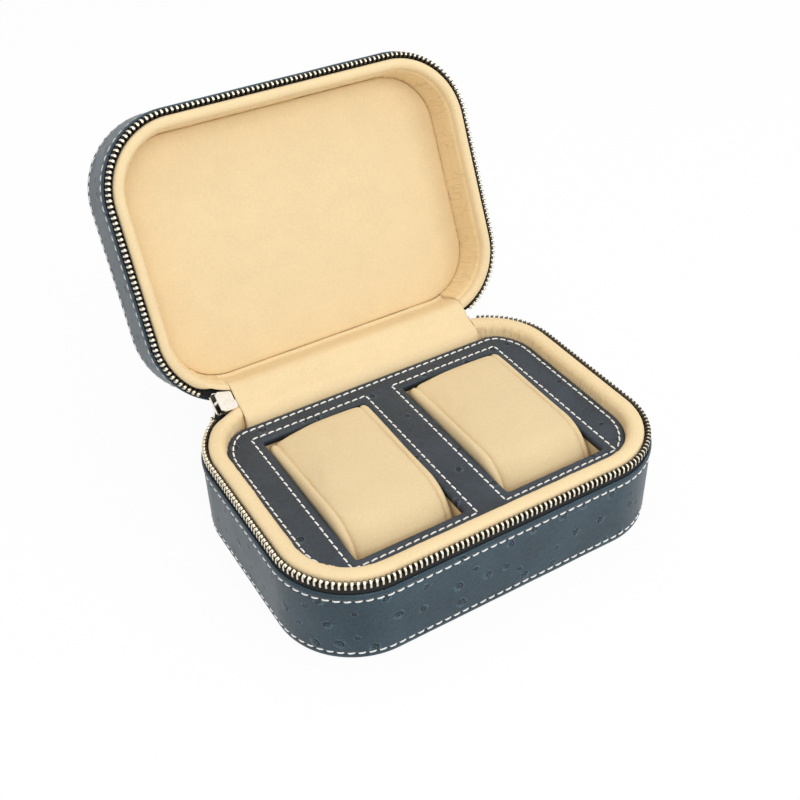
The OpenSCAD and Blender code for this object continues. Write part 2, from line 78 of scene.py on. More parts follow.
# Back corner of the deck: a wide arc that turns to a narrow one
DECK_R, DECK_BACK_R, DECK_BACK_Y = 24.4, 12.0, 49.2
DECK_TURN = math.asin((DECK_BACK_Y - SPAN_Y - DECK_BACK_R) / (DECK_R - DECK_BACK_R))
DECK_CX = SPAN_X + (DECK_R - DECK_BACK_R) * math.cos(DECK_TURN)
DECK_CY = DECK_BACK_Y - DECK_BACK_R
WINDOW_X, WINDOW_Y, WINDOW_HALF_W, WINDOW_HALF_D = 35.0, -4.0, 24.6, 40.8
SIDES = ((-1, "left"), (1, "right"))
# The material slot that each finish dresses
SLOTS = {"outer leather": "navy_leather", "deck leather": "deck_leather", "suede": "cream_suede",
         "board": "greyboard", "foam": "foam", "zip tape": "zip_tape", "teeth metal": "zip_teeth",
         "slider metal": "slider_metal"}
# Seams: heights of the band's two rows, insets of the deck's rows, and how deep thread sinks in
FLOOR_SEAM, HEM_SEAM = 3.5, 32.7
EDGE_SEAM, WINDOW_SEAM = 2.7, 3.7
THREAD_DEPTH = 0.12
UP = (0, 0, 1.0)
# Angles from straight back at which the teeth, the tapes and the rolls begin and end
TEETH_FROM, TEETH_TO, TAPE_ENDS, ROLL_ENDS = 36, 18, 16.5, 8
# Where the slider is parked, and how far its inner plate is widened towards the roll
PARKED_FROM, PARKED_TO = 100, 138
PLATE_WIDENING = 1.6
# How much lower the left end of each pillow sits, and the steps of the cloth simulation
LEANS = (3.0, 1.6)
SWELL_STEPS = 20


# ---- sizes and colours

def length(name, description, metres):
    return bpy.props.FloatProperty(name=name, description=description, default=metres, unit="LENGTH")


def colour(name, description, *rgb):
    return bpy.props.FloatVectorProperty(name=name, description=description, default=rgb, size=3, min=0,
                                         max=1, subtype="COLOR")


class WatchCaseSizes(bpy.types.PropertyGroup):
    stitch_pitch: length("Stitch pitch", "Distance from one stitch to the next", 0.0042)
    deck_pitch: length("Deck stitch pitch", "Distance from one stitch to the next on the deck", 0.00385)
    stitch_length: length("Stitch length", "Length of thread that shows in one stitch", 0.0031)
    thread_width: length("Thread width", "Width of the sewing thread", 0.00074)
    tooth_pitch: length("Tooth pitch", "Distance from one zip tooth to the next", 0.0023)
    pillow_swell: length("Pillow swell", "Most that a pillow's cover moves when its padding swells", 0.0006)
    quill_spacing: length("Quill spacing", "Distance between quill marks in the leather", 0.0125)


class WatchCaseColours(bpy.types.PropertyGroup):
    leather: colour("Outer leather", "Blue-grey leather of the tray and the lid", 0.022, 0.043, 0.058)
    deck: colour("Deck leather", "Slate leather round the windows", 0.026, 0.035, 0.046)
    suede: colour("Suede", "Cream lining, rolls and pillows", 0.77, 0.607, 0.362)
    thread: colour("Thread", "Off-white sewing thread", 0.88, 0.87, 0.83)
    tape: colour("Zip tape", "Black woven tape", 0.008, 0.008, 0.009)
    teeth: colour("Zip teeth", "Pale gold metal of the teeth", 0.84, 0.76, 0.60)
    slider: colour("Slider", "Warm nickel of the slider and its pull", 0.90, 0.85, 0.76)
    board: colour("Board", "Grey stiffening board", 0.25, 0.23, 0.19)
    foam: colour("Foam", "Foam blocks inside", 0.33, 0.33, 0.32)


# ---- meshes

def with_values(made, **values):
    """Sets properties of something new."""
    for key, value in values.items():
        setattr(made, key, value)
    return made


def in_scene(name, data):
    obj = bpy.data.objects.new(name, data)
    bpy.context.scene.collection.objects.link(obj)
    return obj


@contextmanager
def editing(mesh):
    """A mesh opened for editing, and written back."""
    bm = bmesh.new()
    bm.from_mesh(mesh)
    yield bm
    bm.to_mesh(mesh)
    bm.free()


def piece(name, verts, faces, uvs=None, sharp=40):
    """A smooth mesh object from millimetres, its faces turned outwards."""
    mesh = bpy.data.meshes.new(name)
    mesh.from_pydata((np.asarray(verts, float) * MM).tolist(), [], [list(f) for f in faces])
    if uvs is not None:
        mesh.uv_layers.new(name="UVMap").data.foreach_set("uv", np.asarray(uvs, np.float32).ravel())
    with editing(mesh) as bm:
        bmesh.ops.recalc_face_normals(bm, faces=bm.faces)
    return linked(name, mesh, sharp)


def linked(name, mesh, sharp=40):
    mesh.polygons.foreach_set("use_smooth", [True] * len(mesh.polygons))
    mesh.set_sharp_from_angle(angle=math.radians(sharp))
    return in_scene(name, mesh)


def finish_piece(obj, body, finish, *nodes, slot=None):
    """Gives a piece its material and its body, and hides the nodes that it stands for."""
    if obj.data.materials:
        obj.data.materials.clear()
    obj.data.materials.append(bpy.data.materials[finish])
    if body is not None:
        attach(obj, body)
    if nodes:
        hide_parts(*nodes)
    slot or SLOTS[finish]
    return obj


def points_of(obj):
    return np.array([v.co for v in obj.data.vertices])


def move_points(obj, points):
    obj.data.vertices.foreach_set("co", points.ravel())
    obj.data.update()


def mark_faces(obj, marked):
    """Gives the second material to some faces."""
    obj.data.polygons.foreach_set("material_index", [int(m) for m in marked])


def quads(rings, n, first=0, closed=True):
    """Faces between rings of n points that follow one another."""
    return [(a, b, b + n, a + n) for r in range(rings - 1) for i in range(n if closed else n - 1)
            for a, b in [(first + r * n + i, first + r * n + (i + 1) % n)]]


def face_up(obj, layer, thickness):
    """Turns an open sheet face up and gives it a thickness below."""
    if sum(p.normal.z * p.area for p in obj.data.polygons) < 0:
        obj.data.flip_normals()
    obj.modifiers.new(layer, "SOLIDIFY").thickness = thickness


def corner_path(corners, step, closed=True):
    """Stations round corners (x, y, radius, angle0, angle1) and straight on between alike ones.

    Each station is a centre, a radius, an outward angle and the distance run.
    """
    legs = []
    for k, (x, y, radius, a0, a1) in enumerate(corners):
        legs.append((x, y, x, y, radius, a0, a1))
        x1, y1, next_radius = corners[(k + 1) % len(corners)][:3]
        if next_radius == radius and (closed or k + 1 < len(corners)):
            legs.append((x, y, x1, y1, radius, a1, a1))
    path, run = [], 0.0
    for x0, y0, x1, y1, radius, a0, a1 in legs:
        distance = math.hypot(x1 - x0, y1 - y0) + abs(math.radians(a1 - a0)) * radius
        count = max(1, math.ceil(distance / step))
        for t in (i / count for i in range(count)):
            path.append((x0 + (x1 - x0) * t, y0 + (y1 - y0) * t, radius, math.radians(a0 + (a1 - a0) * t),
                         run + distance * t))
        run += distance
    if not closed:
        path.append((x1, y1, radius, math.radians(a1), run))
    return np.array(path)


def case_path(step, left=0, right=0, closed=False):
    """Along the case's zipped sides between two angles from straight back, or all round."""
    sx, sy, r = SPAN_X, SPAN_Y, CORNER
    return corner_path([(-sx, sy, r, 90 + left, 180), (-sx, -sy, r, 180, 270), (sx, -sy, r, 270, 360),
                        (sx, sy, r, 360, 450 - right)], step, closed)


def deck_path(step):
    """Round the deck: wide corners, and a narrow turn to the straight back edge."""
    sx, sy, turn = SPAN_X, SPAN_Y, math.degrees(DECK_TURN)
    cx, cy, wide, tight = DECK_CX, DECK_CY, DECK_R, DECK_BACK_R
    return corner_path([(sx, -sy, wide, -90, 0), (sx, sy, wide, 0, turn), (cx, cy, tight, turn, 90),
                        (-cx, cy, tight, 90, 180 - turn), (-sx, sy, wide, 180 - turn, 180),
                        (-sx, -sy, wide, 180, 270)], step)


def window_path(side, step, corner=1.2):
    """Round one window of the deck; its outward angle points away from the hole."""
    x, y = WINDOW_HALF_W - corner, WINDOW_HALF_D - corner
    corners = [(side * WINDOW_X + a * x, WINDOW_Y + b * y) for a, b in ((1, -1), (1, 1), (-1, 1), (-1, -1))]
    return corner_path([(*c, corner, 90 * k - 90, 90 * k) for k, c in enumerate(corners)], step)


def ring_points(path, inset, z):
    """The path's points at an inset and a height, or a row of them at each station."""
    reach, angle = path[:, 2:3] - inset, path[:, 3:4]
    return np.stack([path[:, 0:1] + reach * np.cos(angle), path[:, 1:2] + reach * np.sin(angle),
                     np.broadcast_to(z, reach.shape)], 2).reshape(-1, 3)


def run_along(points):
    """Distance run at each point of a line."""
    return np.concatenate([[0], np.cumsum(np.linalg.norm(np.diff(points, axis=0), axis=1))])


def at_run(s, run, values):
    """The row of values at a distance, between the rows known at each run."""
    return np.array([np.interp(s, run, column) for column in values.T])


def sweep(path, section, closed_path, closed_section=True, shift=None):
    """Vertices, faces and UVs of a section (inset, z) carried along a path."""
    section = np.array(section, float)
    n, m = len(path), len(section)
    inset, z = (np.broadcast_to(column, (n, m)) for column in section.T)
    if shift is not None:
        move_in, move_up = shift(path, inset, z)
        inset, z = inset + move_in, z + move_up
    along = run_along(np.vstack([section, section[:1]]))
    run = np.append(path[:, 4], path[-1, 4] + (path[-1, 4] - path[-2, 4]))
    faces, uvs = [], []
    for i in range(n if closed_path else n - 1):
        j = (i + 1) % n
        for k in range(m if closed_section else m - 1):
            q = (k + 1) % m
            faces.append((i * m + k, j * m + k, j * m + q, i * m + q))
            uvs += [(run[i], along[k]), (run[i + 1], along[k]), (run[i + 1], along[k + 1]),
                    (run[i], along[k + 1])]
    if closed_section and not closed_path:
        for base, order in ((0, range(m)), ((n - 1) * m, reversed(range(m)))):
            order = list(order)
            faces.append([base + k for k in order])
            uvs += [tuple(section[k]) for k in order]
    return ring_points(path, inset, z), faces, uvs


def plate(name, edge, height, step=3.0):
    """A face over the plan: edge (inset, z) from outside in, then rings and a middle grid at height(x, y)."""
    path = case_path(step, closed=True)
    n = len(path)
    rings = [ring_points(path, inset, z) for inset, z in edge]
    for inset in np.linspace(edge[-1][0], CORNER, 9)[1:]:
        ring = ring_points(path, inset, 0)
        ring[:, 2] = [height(x, y) for x, y, _ in ring]
        rings.append(ring)
    verts = [tuple(v) for ring in rings for v in ring]
    nx, ny = math.ceil(2 * SPAN_X / step), math.ceil(2 * SPAN_Y / step)
    faces = quads(len(rings), n) + quads(ny + 1, nx + 1, len(verts), closed=False) + [list(range(n))]
    verts += [(x, y, height(x, y)) for y in np.linspace(-SPAN_Y, SPAN_Y, ny + 1)
              for x in np.linspace(-SPAN_X, SPAN_X, nx + 1)]
    uvs = [(verts[k][0] + 300, verts[k][1] + 300) for f in faces for k in f]
    obj = piece(name, verts, faces, uvs)
    with editing(obj.data) as bm:
        bmesh.ops.remove_doubles(bm, verts=bm.verts, dist=0.02 * MM)
        bmesh.ops.dissolve_degenerate(bm, edges=bm.edges, dist=0.001 * MM)
        bmesh.ops.recalc_face_normals(bm, faces=bm.faces)
    return obj


HINGE = Matrix.Translation((0, HINGE_Y * MM, PART_Z * MM))


def open_lid(obj):
    """Turns a lid piece over, from the tray's frame to the open lid."""
    flip = Matrix.Diagonal((1, 1, -1, 1))
    obj.data.transform(HINGE @ Matrix.Rotation(-OPEN, 4, "X") @ flip @ HINGE.inverted())
    obj.data.flip_normals()
    return obj


def lidded(y, z):
    """Where a point of the turned-over lid section stands in the open lid."""
    dy, dz = y - HINGE_Y, PART_Z - z
    return (HINGE_Y + dy * math.cos(OPEN) + dz * math.sin(OPEN),
            PART_Z - dy * math.sin(OPEN) + dz * math.cos(OPEN))


def waver(x, y, size, seed):
    """Smooth seeded noise between about -1 and 1."""
    return noise.noise(Vector((x / size, y / size, seed * 17.3)))


def waver_grid(runs, heights, size, seed, rate=1.0):
    return np.array([[waver(run, height * rate, size, seed) for height in heights] for run in runs])


def smooth_curve(points, count):
    """Evenly spaced points along a smooth curve through the given ones."""
    p = np.array(points, float)
    p = np.vstack([2 * p[0] - p[1], p, 2 * p[-1] - p[-2]])
    out = []
    for k in range(1, len(p) - 2):
        for t in np.linspace(0, 1, 16, endpoint=False):
            a, b, c, d = p[k - 1:k + 3]
            out.append(0.5 * (2 * b + (c - a) * t + (2 * a - 5 * b + 4 * c - d) * t * t
                              + (3 * b - a - 3 * c + d) * t ** 3))
    out = np.array(out + [p[-2]])
    run = run_along(out)
    return at_run(np.linspace(0, run[-1], count), run, out).T, run[-1]


def cut_seams(obj):
    """Cuts a roll off straight at the hinge seams, behind the corner centres."""
    with editing(obj.data) as bm:
        for side, _ in SIDES:
            back = [f for f in bm.faces if f.calc_center_median().y > SPAN_Y * MM
                    and side * f.calc_center_median().x > 0]
            geom = back + list(dict.fromkeys(part for f in back for part in [*f.edges, *f.verts]))
            bmesh.ops.bisect_plane(bm, geom=geom, dist=1e-7, plane_co=(side * SEAM_X * MM, 0, 0),
                                   plane_no=(-side, 0, 0), clear_outer=True)
        bmesh.ops.holes_fill(bm, edges=[e for e in bm.edges if e.is_boundary], sides=0)
        bmesh.ops.recalc_face_normals(bm, faces=bm.faces)
    obj.data.set_sharp_from_angle(angle=math.radians(40))
    return obj


def capped(rings, m):
    """Faces of a row of closed rings, with a cap at each end."""
    return quads(rings, m) + [list(range(m)), [(rings - 1) * m + k for k in reversed(range(m))]]


def extruded(name, section, half, count):
    """A closed (y, z) section carried along x between -half and half."""
    verts = [(x, y, z) for x in np.linspace(-half, half, count) for y, z in section]
    return piece(name, verts, capped(count, len(section)))


# ---- stitches

def stitch_mesh(name, rows, sizes, pitch):
    """Every stitch of some rows, each (points, normals or one normal, closed), thread lying on the points."""
    pitch, half, radius = pitch / MM, sizes.stitch_length / MM / 2, sizes.thread_width / MM / 2
    spine = [(-1.0, -0.42, 0.55), (-0.86, -0.08, 0.9), (-0.5, 0.1, 1.0), (0.0, 0.14, 1.02), (0.5, 0.1, 1.0),
             (0.86, -0.08, 0.9), (1.0, -0.42, 0.55)]
    verts, faces = [], []
    for points, normals, closed in rows:
        normals = np.broadcast_to(normals, points.shape)
        if closed:
            points, normals = np.vstack([points, points[:1]]), np.vstack([normals, normals[:1]])
        run = run_along(points)
        count = max(1, round(run[-1] / pitch))
        share = run[-1] / count
        for i in range(count):
            s = (i + 0.5) * share
            here, out = at_run(s, run, points), at_run(s, run, normals)
            ahead = at_run(min(s + 0.6, run[-1]), run, points) - at_run(max(s - 0.6, 0), run, points)
            ahead /= np.linalg.norm(ahead)
            out -= ahead * (out @ ahead)
            out /= np.linalg.norm(out)
            beside = np.cross(out, ahead)
            lean = 0.1 + 0.05 * waver(s, len(verts) * 0.01, 2.1, 3)
            ahead, beside = ahead + beside * lean, beside - ahead * lean
            first = len(verts)
            for t, lift, girth in spine:
                for k in range(8):
                    a = math.pi * k / 4
                    rise = lift + 0.82 * radius * girth * math.sin(a)
                    aside = radius * girth * math.cos(a)
                    verts.append(here + ahead * (t * half) + out * rise + beside * aside)
            faces += quads(len(spine), 8, first)
            faces.append([first + k for k in reversed(range(8))])
            faces.append([first + (len(spine) - 1) * 8 + k for k in range(8)])
    return piece(name, verts, faces, sharp=60)


def band_row(z):
    """A row of stitches round the band, lying in its groove."""
    path = case_path(1.5, closed=True)
    points = ring_points(path, THREAD_DEPTH, z)
    normals = np.stack([np.cos(path[:, 3]), np.sin(path[:, 3]), np.zeros(len(path))], 1)
    return points, normals, True


# ---- shader nodes

def fill_inputs(node, inputs):
    """Gives each input a value or another node's output."""
    for key, value in inputs.items():
        if isinstance(value, bpy.types.NodeSocket):
            node.id_data.links.new(value, node.inputs[key])
        else:
            node.inputs[key].default_value = value


def shader_node(kind, inputs, tree=None, **settings):
    """A new node in the tree of the first output linked to it, or in the given tree."""
    tree = tree or next(value.id_data for value in inputs.values() if isinstance(value, bpy.types.NodeSocket))
    made = with_values(tree.nodes.new(kind), **settings)
    fill_inputs(made, inputs)
    return made


def math_node(operation, a, b=0.0):
    return shader_node("ShaderNodeMath", {0: a, 1: b}, operation=operation).outputs[0]


def times(a, b):
    return math_node("MULTIPLY", a, b)


def summed(*terms, clamp=False):
    """Adds up (value, weight) terms."""
    total = 0.0
    for k, (value, weight) in enumerate(terms, 1):
        total = shader_node("ShaderNodeMath", {0: value, 1: weight, 2: total}, operation="MULTIPLY_ADD",
                            use_clamp=clamp and k == len(terms)).outputs[0]
    return total


def vector_node(operation, a, b=(0.0, 0.0, 0.0), **values):
    made = shader_node("ShaderNodeVectorMath", {0: a, 1: b, **values}, operation=operation)
    return made.outputs["Value" if operation in ("LENGTH", "DOT_PRODUCT") else "Vector"]


def spread(value, low, high, to_low=0.0, to_high=1.0):
    return shader_node("ShaderNodeMapRange", {"Value": value, "From Min": low, "From Max": high,
                                              "To Min": to_low, "To Max": to_high}).outputs[0]


def clouds(vector, scale, detail=2.0, **inputs):
    """Soft noise."""
    inputs.update({"Vector": vector, "Scale": scale, "Detail": detail})
    return shader_node("ShaderNodeTexNoise", inputs).outputs["Fac"]


def ribs(vector, scale, distortion, direction):
    """Soft even stripes."""
    return shader_node("ShaderNodeTexWave", {"Vector": vector, "Scale": scale, "Distortion": distortion},
                       bands_direction=direction).outputs["Fac"]


def blend_colours(share, a, b):
    return shader_node("ShaderNodeMix", {0: share, 6: a, 7: b}, data_type="RGBA").outputs[2]


def new_group(name, inputs, outputs):
    """An empty node group with a Vector input and named numbers in and out."""
    tree = bpy.data.node_groups.new(name, "ShaderNodeTree")
    tree.interface.new_socket("Vector", in_out="INPUT", socket_type="NodeSocketVector")
    for label, value in inputs:
        tree.interface.new_socket(label, in_out="INPUT", socket_type="NodeSocketFloat").default_value = value
    for label in outputs:
        tree.interface.new_socket(label, in_out="OUTPUT", socket_type="NodeSocketFloat")
    return tree.nodes.new("NodeGroupInput").outputs, tree.nodes.new("NodeGroupOutput")


def quill_group():
    """Leather grain with quill marks: each a low bump with a pore, a crease beside it and rims; painted shade
    darkens the crease and pore, painted highlight lightens the rims.
    """
    given, out = new_group("Quill grain", [("Spacing", 12.5), ("Mark size", 1.5), ("Grain size", 0.6)],
                           ["Height", "Mark", "Shade", "Glint"])
    vector = vector_node("MULTIPLY", given["Vector"], (1.0, 1.0, 0.0))
    pebbles = shader_node("ShaderNodeTexVoronoi", {
        "Vector": vector, "Scale": math_node("DIVIDE", 1.0, given["Grain size"])},
        feature="SMOOTH_F1", voronoi_dimensions="2D").outputs["Distance"]
    cells = shader_node("ShaderNodeTexVoronoi", {
        "Vector": vector, "Randomness": 0.8, "Scale": math_node("DIVIDE", 1.0, given["Spacing"])},
        feature="F1", voronoi_dimensions="2D").outputs
    creases = clouds(vector, 0.5, 5.0, Roughness=0.65, Distortion=0.8)

    # Each mark has its own size and the side that its crease lies on
    offset = vector_node("SUBTRACT", vector, cells["Position"])
    turn = vector_node("SUBTRACT", cells["Color"], (0.5, 0.5, 0.5))
    flat = vector_node("NORMALIZE", vector_node("MULTIPLY", turn, (1.0, 1.0, 0.0)))
    unit = times(given["Mark size"], spread(cells["Color"], 0.2, 0.8, 0.75, 1.3))
    reach = math_node("DIVIDE", vector_node("LENGTH", offset), unit)
    reach = math_node("ADD", reach, spread(clouds(vector, 1.1), 0.3, 0.7, -0.35, 0.35))
    side = math_node("DIVIDE", vector_node("DOT_PRODUCT", offset, flat), unit)

    # The crease and the pore carry painted shade
    crease = times(spread(reach, 0.62, 0.86), spread(reach, 1.22, 1.0))
    crease = times(crease, spread(side, -0.35, 0.35))
    pore_at = vector_node("SUBTRACT", offset, vector_node("SCALE", flat, Scale=-0.3))
    pore = spread(vector_node("LENGTH", pore_at), 0.55, 0.2)
    mark = math_node("MAXIMUM", crease, pore)
    dome = spread(reach, 1.7, 0.2)
    # The rims carry painted highlight
    rim = times(spread(reach, 1.0, 1.2), spread(reach, 1.65, 1.35))
    rim = times(rim, spread(math_node("ABSOLUTE", side), 0.3, 0.8))
    # Pale specks, added to the rims' painted highlight
    pale_specks = spread(clouds(vector, 1.25, 1.0), 0.70, 0.76)
    fill_inputs(out, {
        "Height": summed((pebbles, 0.14), (creases, 0.3), (dome, 0.7), (mark, -1.8)),
        "Mark": mark,
        "Glint": math_node("MAXIMUM", rim, pale_specks),
        "Shade": summed((spread(clouds(vector, 0.05, 3.0), 0.3, 0.7), 0.4),
                        (spread(creases, 0.3, 0.7), 0.4),
                        (spread(clouds(vector, 1.7), 0.3, 0.7), 0.45), (dome, 0.12), clamp=True)})


def suede_group():
    """Short nap: brushed patches, fine fibres and a soft uneven surface."""
    given, out = new_group("Suede nap", [("Patch size", 14.0), ("Fibre size", 0.7)], ["Height", "Shade"])
    vector = given["Vector"]
    patch = clouds(vector, math_node("DIVIDE", 1.0, given["Patch size"]), 3.0, Roughness=0.55, Distortion=0.6)
    fibre = clouds(vector, math_node("DIVIDE", 1.0, given["Fibre size"]), 3.0, Roughness=0.7)
    fluff = clouds(vector, 0.9, 3.0)
    fill_inputs(out, {
        "Height": summed((fibre, 0.6), (fluff, 0.4)),
        "Shade": spread(summed((patch, 0.25), (fibre, 0.5), (fluff, 0.25)), 0.3, 0.7)})


def wrinkle_group():
    """Fine creases that run down a glued wall, in loose bunches."""
    given, out = new_group("Wall wrinkles", [], ["Fold"])
    slow = vector_node("MULTIPLY", given["Vector"], (1.0, 0.16, 0.0))
    lines = clouds(slow, 0.3, Roughness=0.4, Distortion=0.5)
    ridge = math_node("ABSOLUTE", math_node("SUBTRACT", lines, 0.5))
    bunch = spread(clouds(given["Vector"], 0.07, 1.0), 0.4, 0.52)
    fill_inputs(out, {"Fold": times(spread(ridge, 0.028, 0.004), bunch)})


def metal_group():
    """Drawn and tumbled metal: fine scratches and duller, darker patches."""
    given, out = new_group("Tumbled metal", [("Scratch size", 0.25)], ["Height", "Tarnish"])
    stretched = vector_node("MULTIPLY", given["Vector"], (0.2, 1.0, 1.0))
    fill_inputs(out, {
        "Height": clouds(stretched, math_node("DIVIDE", 1.0, given["Scratch size"])),
        "Tarnish": spread(clouds(given["Vector"], 0.6, 3.0), 0.42, 0.72)})


def new_material(name):
    material = bpy.data.materials.new(name)
    material.use_nodes = True
    return material.node_tree, material.node_tree.nodes["Principled BSDF"]


def millimetres(tree, kind="Object"):
    """Coordinates in millimetres: the object's own, or the run and height of a swept piece."""
    coords = tree.nodes.new("ShaderNodeTexCoord").outputs
    return coords["UV"] if kind == "UV" else vector_node("SCALE", coords["Object"], Scale=1000.0)


def use_group(name, vector, **values):
    inputs = {"Vector": vector, **{key.replace("_", " "): value for key, value in values.items()}}
    return shader_node("ShaderNodeGroup", inputs, node_tree=bpy.data.node_groups[name]).outputs


def bump(height, strength, millimetres_deep):
    inputs = {"Height": height, "Strength": strength, "Distance": millimetres_deep * MM}
    return shader_node("ShaderNodeBump", inputs).outputs[0]


def shaded(colour, factor):
    return tuple(min(1.0, c * factor) for c in colour) + (1.0,)


def tones(share, colour, low, high):
    """A colour that goes from a darker to a lighter tone of itself."""
    return blend_colours(share, shaded(colour, low), shaded(colour, high))


def leather_material(name, colour, spacing, coords="UV", roughness=0.38, mark_size=1.3):
    tree, shader = new_material(name)
    grain = use_group("Quill grain", millimetres(tree, coords), Spacing=spacing, Mark_size=mark_size)
    base = tones(grain["Shade"], colour, 0.5, 1.5)
    # Painted shade in each mark's crease and pore; painted highlight on its rims and pale specks
    base = blend_colours(grain["Mark"], base, shaded(colour, 0.08))
    fill_inputs(shader, {
        "Base Color": blend_colours(times(grain["Glint"], 0.5), base, shaded(colour, 4.0)),
        "Roughness": spread(grain["Shade"], 0.0, 1.0, roughness + 0.06, roughness - 0.05),
        "Specular IOR Level": 0.3,
        "Normal": bump(grain["Height"], 0.9, 0.5)})


def suede_material(name, colour, patch=14.0, wrinkled=False):
    tree, shader = new_material(name)
    nap = use_group("Suede nap", millimetres(tree), Patch_size=patch)
    base, height = tones(nap["Shade"], colour, 0.90, 1.07), nap["Height"]
    if wrinkled:
        folds = use_group("Wall wrinkles", millimetres(tree, "UV"))["Fold"]
        # Painted shade: the wall's colour darkens along its folds
        base = blend_colours(times(folds, 0.4), base, shaded(colour, 0.68))
        height = summed((height, 1.0), (folds, -1.2))
    fill_inputs(shader, {
        "Base Color": base, "Roughness": 0.93, "Specular IOR Level": 0.15, "Sheen Weight": 0.12,
        "Sheen Roughness": 0.5, "Sheen Tint": (1.0, 0.93, 0.8, 1.0), "Normal": bump(height, 0.35, 0.16)})


def tape_material(name, colour):
    """Woven tape: warp ribs along the tape, crossed by fine wefts."""
    tree, shader = new_material(name)
    vector = millimetres(tree, "UV")
    weave = times(ribs(vector, 0.42, 0.3, "X"), ribs(vector, 0.6, 0.3, "Y"))
    fill_inputs(shader, {
        "Base Color": tones(weave, colour, 0.6, 2.2),
        "Roughness": 0.8, "Normal": bump(weave, 0.6, 0.2)})


def metal_material(name, colour, roughness):
    tree, shader = new_material(name)
    metal = use_group("Tumbled metal", millimetres(tree))
    fill_inputs(shader, {
        "Base Color": tones(metal["Tarnish"], colour, 1.05, 0.92),
        "Roughness": spread(metal["Tarnish"], 0.0, 1.0, roughness, roughness + 0.1),
        "Metallic": 1.0, "Normal": bump(metal["Height"], 0.15, 0.02)})


def thread_material(name, colour):
    """Twisted thread: fine slanting plies."""
    tree, shader = new_material(name)
    vector = millimetres(tree)
    ply = ribs(vector, 0.5, 1.0, "DIAGONAL")
    base = tones(ply, colour, 0.85, 1.1)
    fill_inputs(shader, {
        "Base Color": blend_colours(times(clouds(vector, 0.2), 0.3), base, shaded(colour, 0.8)),
        "Roughness": 0.7, "Normal": bump(ply, 0.4, 0.1)})


def pulp_material(name, colour, scale):
    """Pressed board or foam: speckled, with a rough pored surface."""
    tree, shader = new_material(name)
    vector = millimetres(tree)
    pores = shader_node("ShaderNodeTexVoronoi", {"Vector": vector, "Scale": scale * 1.4}).outputs["Distance"]
    fill_inputs(shader, {
        "Base Color": tones(clouds(vector, scale, 6.0), colour, 0.6, 1.4),
        "Roughness": 0.9, "Normal": bump(pores, 0.4, 0.2)})


class WATCHCASE_OT_finishes(bpy.types.Operator):
    """Make the leather, suede, tape, metal, thread, board and foam finishes"""
    bl_idname = "watchcase.finishes"
    bl_label = "Finishes"

    def execute(self, context):
        c = context.scene.watchcase_colours
        spacing = context.scene.watchcase_sizes.quill_spacing / MM
        for make_group in (quill_group, suede_group, metal_group, wrinkle_group):
            make_group()
        leather_material("outer leather", c.leather, spacing)
        leather_material("deck leather", c.deck, spacing * 1.3, "Object", 0.46, 1.15)
        suede_material("suede", c.suede)
        # Walls below the rolls: a lighter, paler copy of the suede, painted light, with painted shade in its
        # wrinkles
        suede_material("wall suede painted light", tuple(v * k for v, k in zip(c.suede, (1.07, 1.05, 1.02))), 9.0, True)
        # Pillows in a darker copy of the suede: painted shade
        suede_material("pillow suede", shaded(c.suede, 0.89)[:3], 22.0)
        tape_material("zip tape", c.tape)
        metal_material("teeth metal", c.teeth, 0.28)
        # A far darker copy of the teeth metal: painted shade on the teeth's back and inner faces and in the
        # slider's hollows
        metal_material("teeth painted shade", shaded(c.teeth, 0.12)[:3], 0.5)
        metal_material("slider metal", c.slider, 0.34)
        thread_material("thread", c.thread)
        pulp_material("board", c.board, 1.3)
        pulp_material("foam", c.foam, 2.2)
        by_slot = {slot: finish for finish, slot in SLOTS.items()}
        slots = {s["node"]: s["material_slot"] for s in frame["record"]["subparts"]}
        for name, obj in frame["nodes"].items():
            for slot in obj.material_slots:
                slot.material = bpy.data.materials[by_slot[slots[name]]]
        return {"FINISHED"}


# ---- leather

def band_section(floor):
    """Outside of a band with its two sewn grooves and rolled hem, and its flat inside."""
    rows = (floor + FLOOR_SEAM, HEM_SEAM)
    points = [(1.4, floor + 1.0), (0.75, floor + 0.55), (0.25, floor + 0.75), (0.04, floor + 1.3)]
    z = floor + 2.0
    while z < 33.2:
        dip = sum(0.24 * math.exp(-((z - row) / 0.42) ** 2) for row in rows)
        points.append((dip, z))
        z += 0.4 if min(abs(z - row) for row in rows) < 1.3 else 1.1
    points += [(-0.12, 33.45), (-0.26, 33.9), (-0.32, 34.5), (-0.28, 35.1), (-0.12, 35.6), (0.12, 35.95),
               (0.42, 36.1), (0.7, 36.0), (0.86, 35.7), (0.92, 35.2), (1.4, 34.6), (1.42, 30.0)]
    return points


def band_shift(path, inset, z):
    """Slight unevenness of the leather's outside."""
    outside = (inset < 0.6).astype(float)
    return 0.07 * waver_grid(path[:, 4], z[0], 14, 1) * outside, np.zeros_like(z)


def leather_band(name, floor):
    path = case_path(1.1, closed=True)
    return piece(name, *sweep(path, band_section(floor), True, shift=band_shift), sharp=50)


def leather_half(name, flat_side, body, floor, sizes):
    """Band, flat side with its edge turned round the board, and stitching, of the tray or the lid."""
    edge = [(1.65, floor + 1.35), (1.6, floor + 0.7), (1.72, floor + 0.3), (2.05, floor + 0.08), (2.6, floor),
            (4.0, floor)]
    rows = [band_row(floor + FLOOR_SEAM), band_row(HEM_SEAM)]
    flat_name, flat_node = flat_side
    for obj, finish, nodes in (
            (leather_band(name + "_band", floor), "outer leather", [body + "_side_wrap"]),
            (plate(name + flat_name, edge, lambda x, y: floor), "outer leather", [body + flat_node]),
            (stitch_mesh(name + "_stitches", rows, sizes, sizes.stitch_pitch), "thread", [])):
        finish_piece(open_lid(obj) if body == "lid" else obj, body, finish, *nodes, slot="navy_leather")


